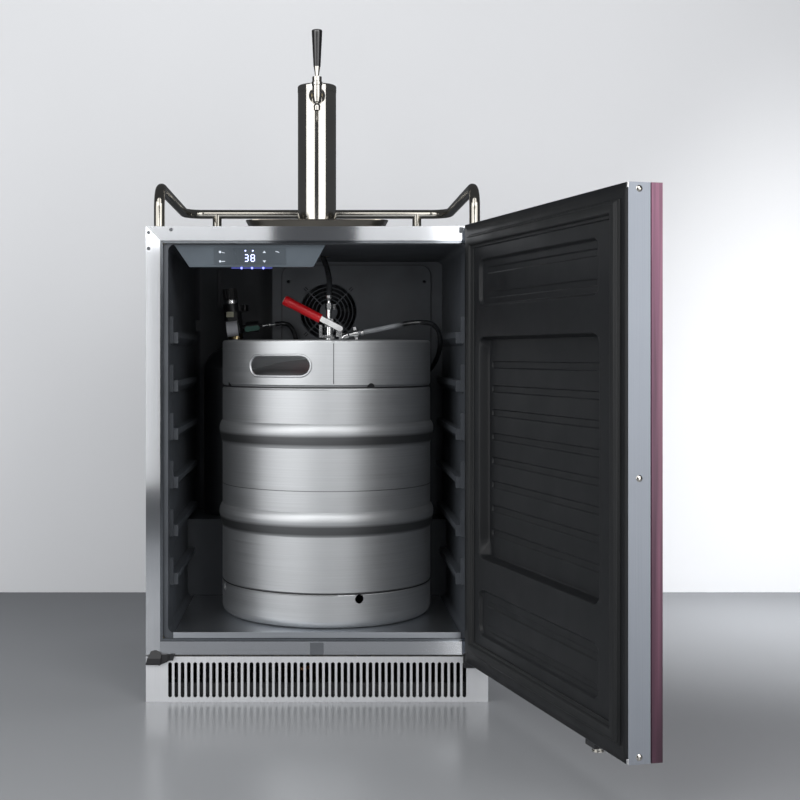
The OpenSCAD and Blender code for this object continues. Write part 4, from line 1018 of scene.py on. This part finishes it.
def make_grille_tabs():
    """A pair of short tabs at each of four corners around the fan grille."""
    tabs = []
    for turn in (45, 135, 225, 315):
        a = math.radians(turn)
        out, aside = Vector((math.cos(a), 0, math.sin(a))), Vector((-math.sin(a), 0, math.cos(a)))
        for shift in (-TAB_SHIFT, TAB_SHIFT):
            tabs.append(slab(TAB_OUTLINE, GRILLE_AT + TAB_REACH * out + shift * aside, out, aside, 0.0014))
    add_piece("fan_grille_tabs", joined("fan_grille_tabs", tabs, False), "cabinet", "black_plastic")


# ---- Gas ----

REGULATOR = Vector((-0.1715, 0.405, 0.6714))
LEAN = math.radians(7)
REG_OUT = Vector((math.cos(LEAN), 0, math.sin(LEAN)))
REG_UP = Vector((-math.sin(LEAN), 0, math.cos(LEAN)))


def at_regulator(u, y, w):
    """A point in the leaning regulator's own frame, in millimetres."""
    return REGULATOR + REG_OUT * u * MM + Vector((0, y * MM, 0)) + REG_UP * w * MM


BAND_PROFILE = [(13.4, 41.9), (14.0, 42.2), (14.2, 43), (14.0, 44.4), (14.2, 46), (14.2, 49), (14.0, 50.8),
                (13.4, 51.3)]


def make_regulator_details():
    """Chrome band of the bonnet, pale fitting below it, and the rims of the gauge."""
    ring = lathe([(r * MM, w * MM) for r, w in BAND_PROFILE], REGULATOR, REG_UP, 48)
    add_piece("bonnet_band", joined("bonnet_band", [ring]), "cabinet", "coupler_chrome")
    fitting = joined("regulator_fitting", [block((-186, 385.5, 685.5), (-170.7, 390.5, 696.5)),
                                           block((-181.5, 383.5, 688.5), (-175.2, 386, 693.5))], False)
    soften(add_piece("regulator_fitting", fitting, "cabinet", "fitting_cream"), 0.001)
    rims = [hoop(at_regulator(u, -34.5, -10), REG_OUT, 0.0156, 0.0013) for u in (-14.2, 11.2)]
    add_piece("gauge_rims", joined("gauge_rims", rims), "cabinet", "black_plastic")


def make_hose_clamps():
    """Crimped bands where the hoses are pushed on their barbs."""
    parts = []
    for route, reach, radius in ((BEER_ROUTE, 0.008, BEER_D / 2), (GAS_ROUTE, 0.007, GAS_D / 2)):
        start, second = smooth_line(route)[:2]
        ahead = (second - start).normalized()
        for shift in (-0.0016, 0.0, 0.0016):
            parts.append(hoop(start + (reach + shift) * ahead, ahead, radius + 0.0002, 0.0011, 32, 8))
    add_piece("hose_clamps", joined("hose_clamps", parts), "cabinet", "coupler_chrome")


LEVER_PIVOT = Vector(joints["coupler_lever_swing"]["pos_m"])
# Rise of the grip at rest, and the distance from the lever's pivot to the grip's end
GRIP_TILT, GRIP_END = math.radians(27.3), 0.0966
GRIP_ALONG = Vector((-math.cos(GRIP_TILT), 0, math.sin(GRIP_TILT)))
CAP_PROFILE = [(0.01, 1.6), (3, 1.5), (5.4, 1.0), (6.6, 0.3), (6.8, -0.4)]


def make_grip_cap():
    """Domed white end cap of the coupler's grip."""
    base = LEVER_PIVOT + GRIP_END * GRIP_ALONG
    cap = lathe([(r * MM, h * MM) for r, h in CAP_PROFILE], base, GRIP_ALONG, 32)
    add_piece("grip_end_cap", joined("grip_end_cap", [cap]), "coupler_handle", "white_nylon")


# ---- Small trim ----

def make_corner_clips():
    """Small clips at the ends of the door's free inner edge, laid out on the closed door."""
    clips = []
    for low, high in ((76.2, 84.2), (826.2, 833.8)):
        points, faces = block((-297.3, -10.6, low), (-293.2, -9.1, high))
        clips.append(([SWUNG @ p for p in points], faces))
    soften(add_piece("door_corner_clips", joined("door_corner_clips", clips, False), "door", "coupler_chrome"), 0.0004)


def make_sensor_bar():
    bar = joined("sensor_bar", [block((70, 0.4, 79.6), (94.7, 4, 82.7))], False)
    soften(add_piece("sensor_bar", bar, "cabinet", "black_plastic"), 0.0006)


PLUG_PLACES = ((-0.2952, 0.823), (-0.2952, 0.795), (-0.256, 0.828))


def make_plug_rings():
    """Dark gaps round the screw plugs of the frame."""
    rings = [hoop((x, -0.0008, z), (0, 1, 0), 0.0027, 0.0004, 24, 6) for x, z in PLUG_PLACES]
    add_piece("plug_rings", joined("plug_rings", rings), "cabinet", "black_plastic")


make_camera()
make_hose("beer_hose", BEER_ROUTE, BEER_D, "beer_line", "beer_hose")
make_hose("gas_hose", GAS_ROUTE, GAS_D, "gas_line", "gas_hose")
light_scene()
paint_nodes()
make_stage()
make_door_liner()
make_gasket()
make_slot_rims()
make_seams()
make_shadow_joints()
make_vent_shades()
make_digits()
make_icons()
make_leds()
make_corner_strip()
make_wall_rib()
make_cover_seam()
make_grille_tabs()
make_regulator_details()
make_hose_clamps()
make_grip_cap()
make_corner_clips()
make_sensor_bar()
make_plug_rings()
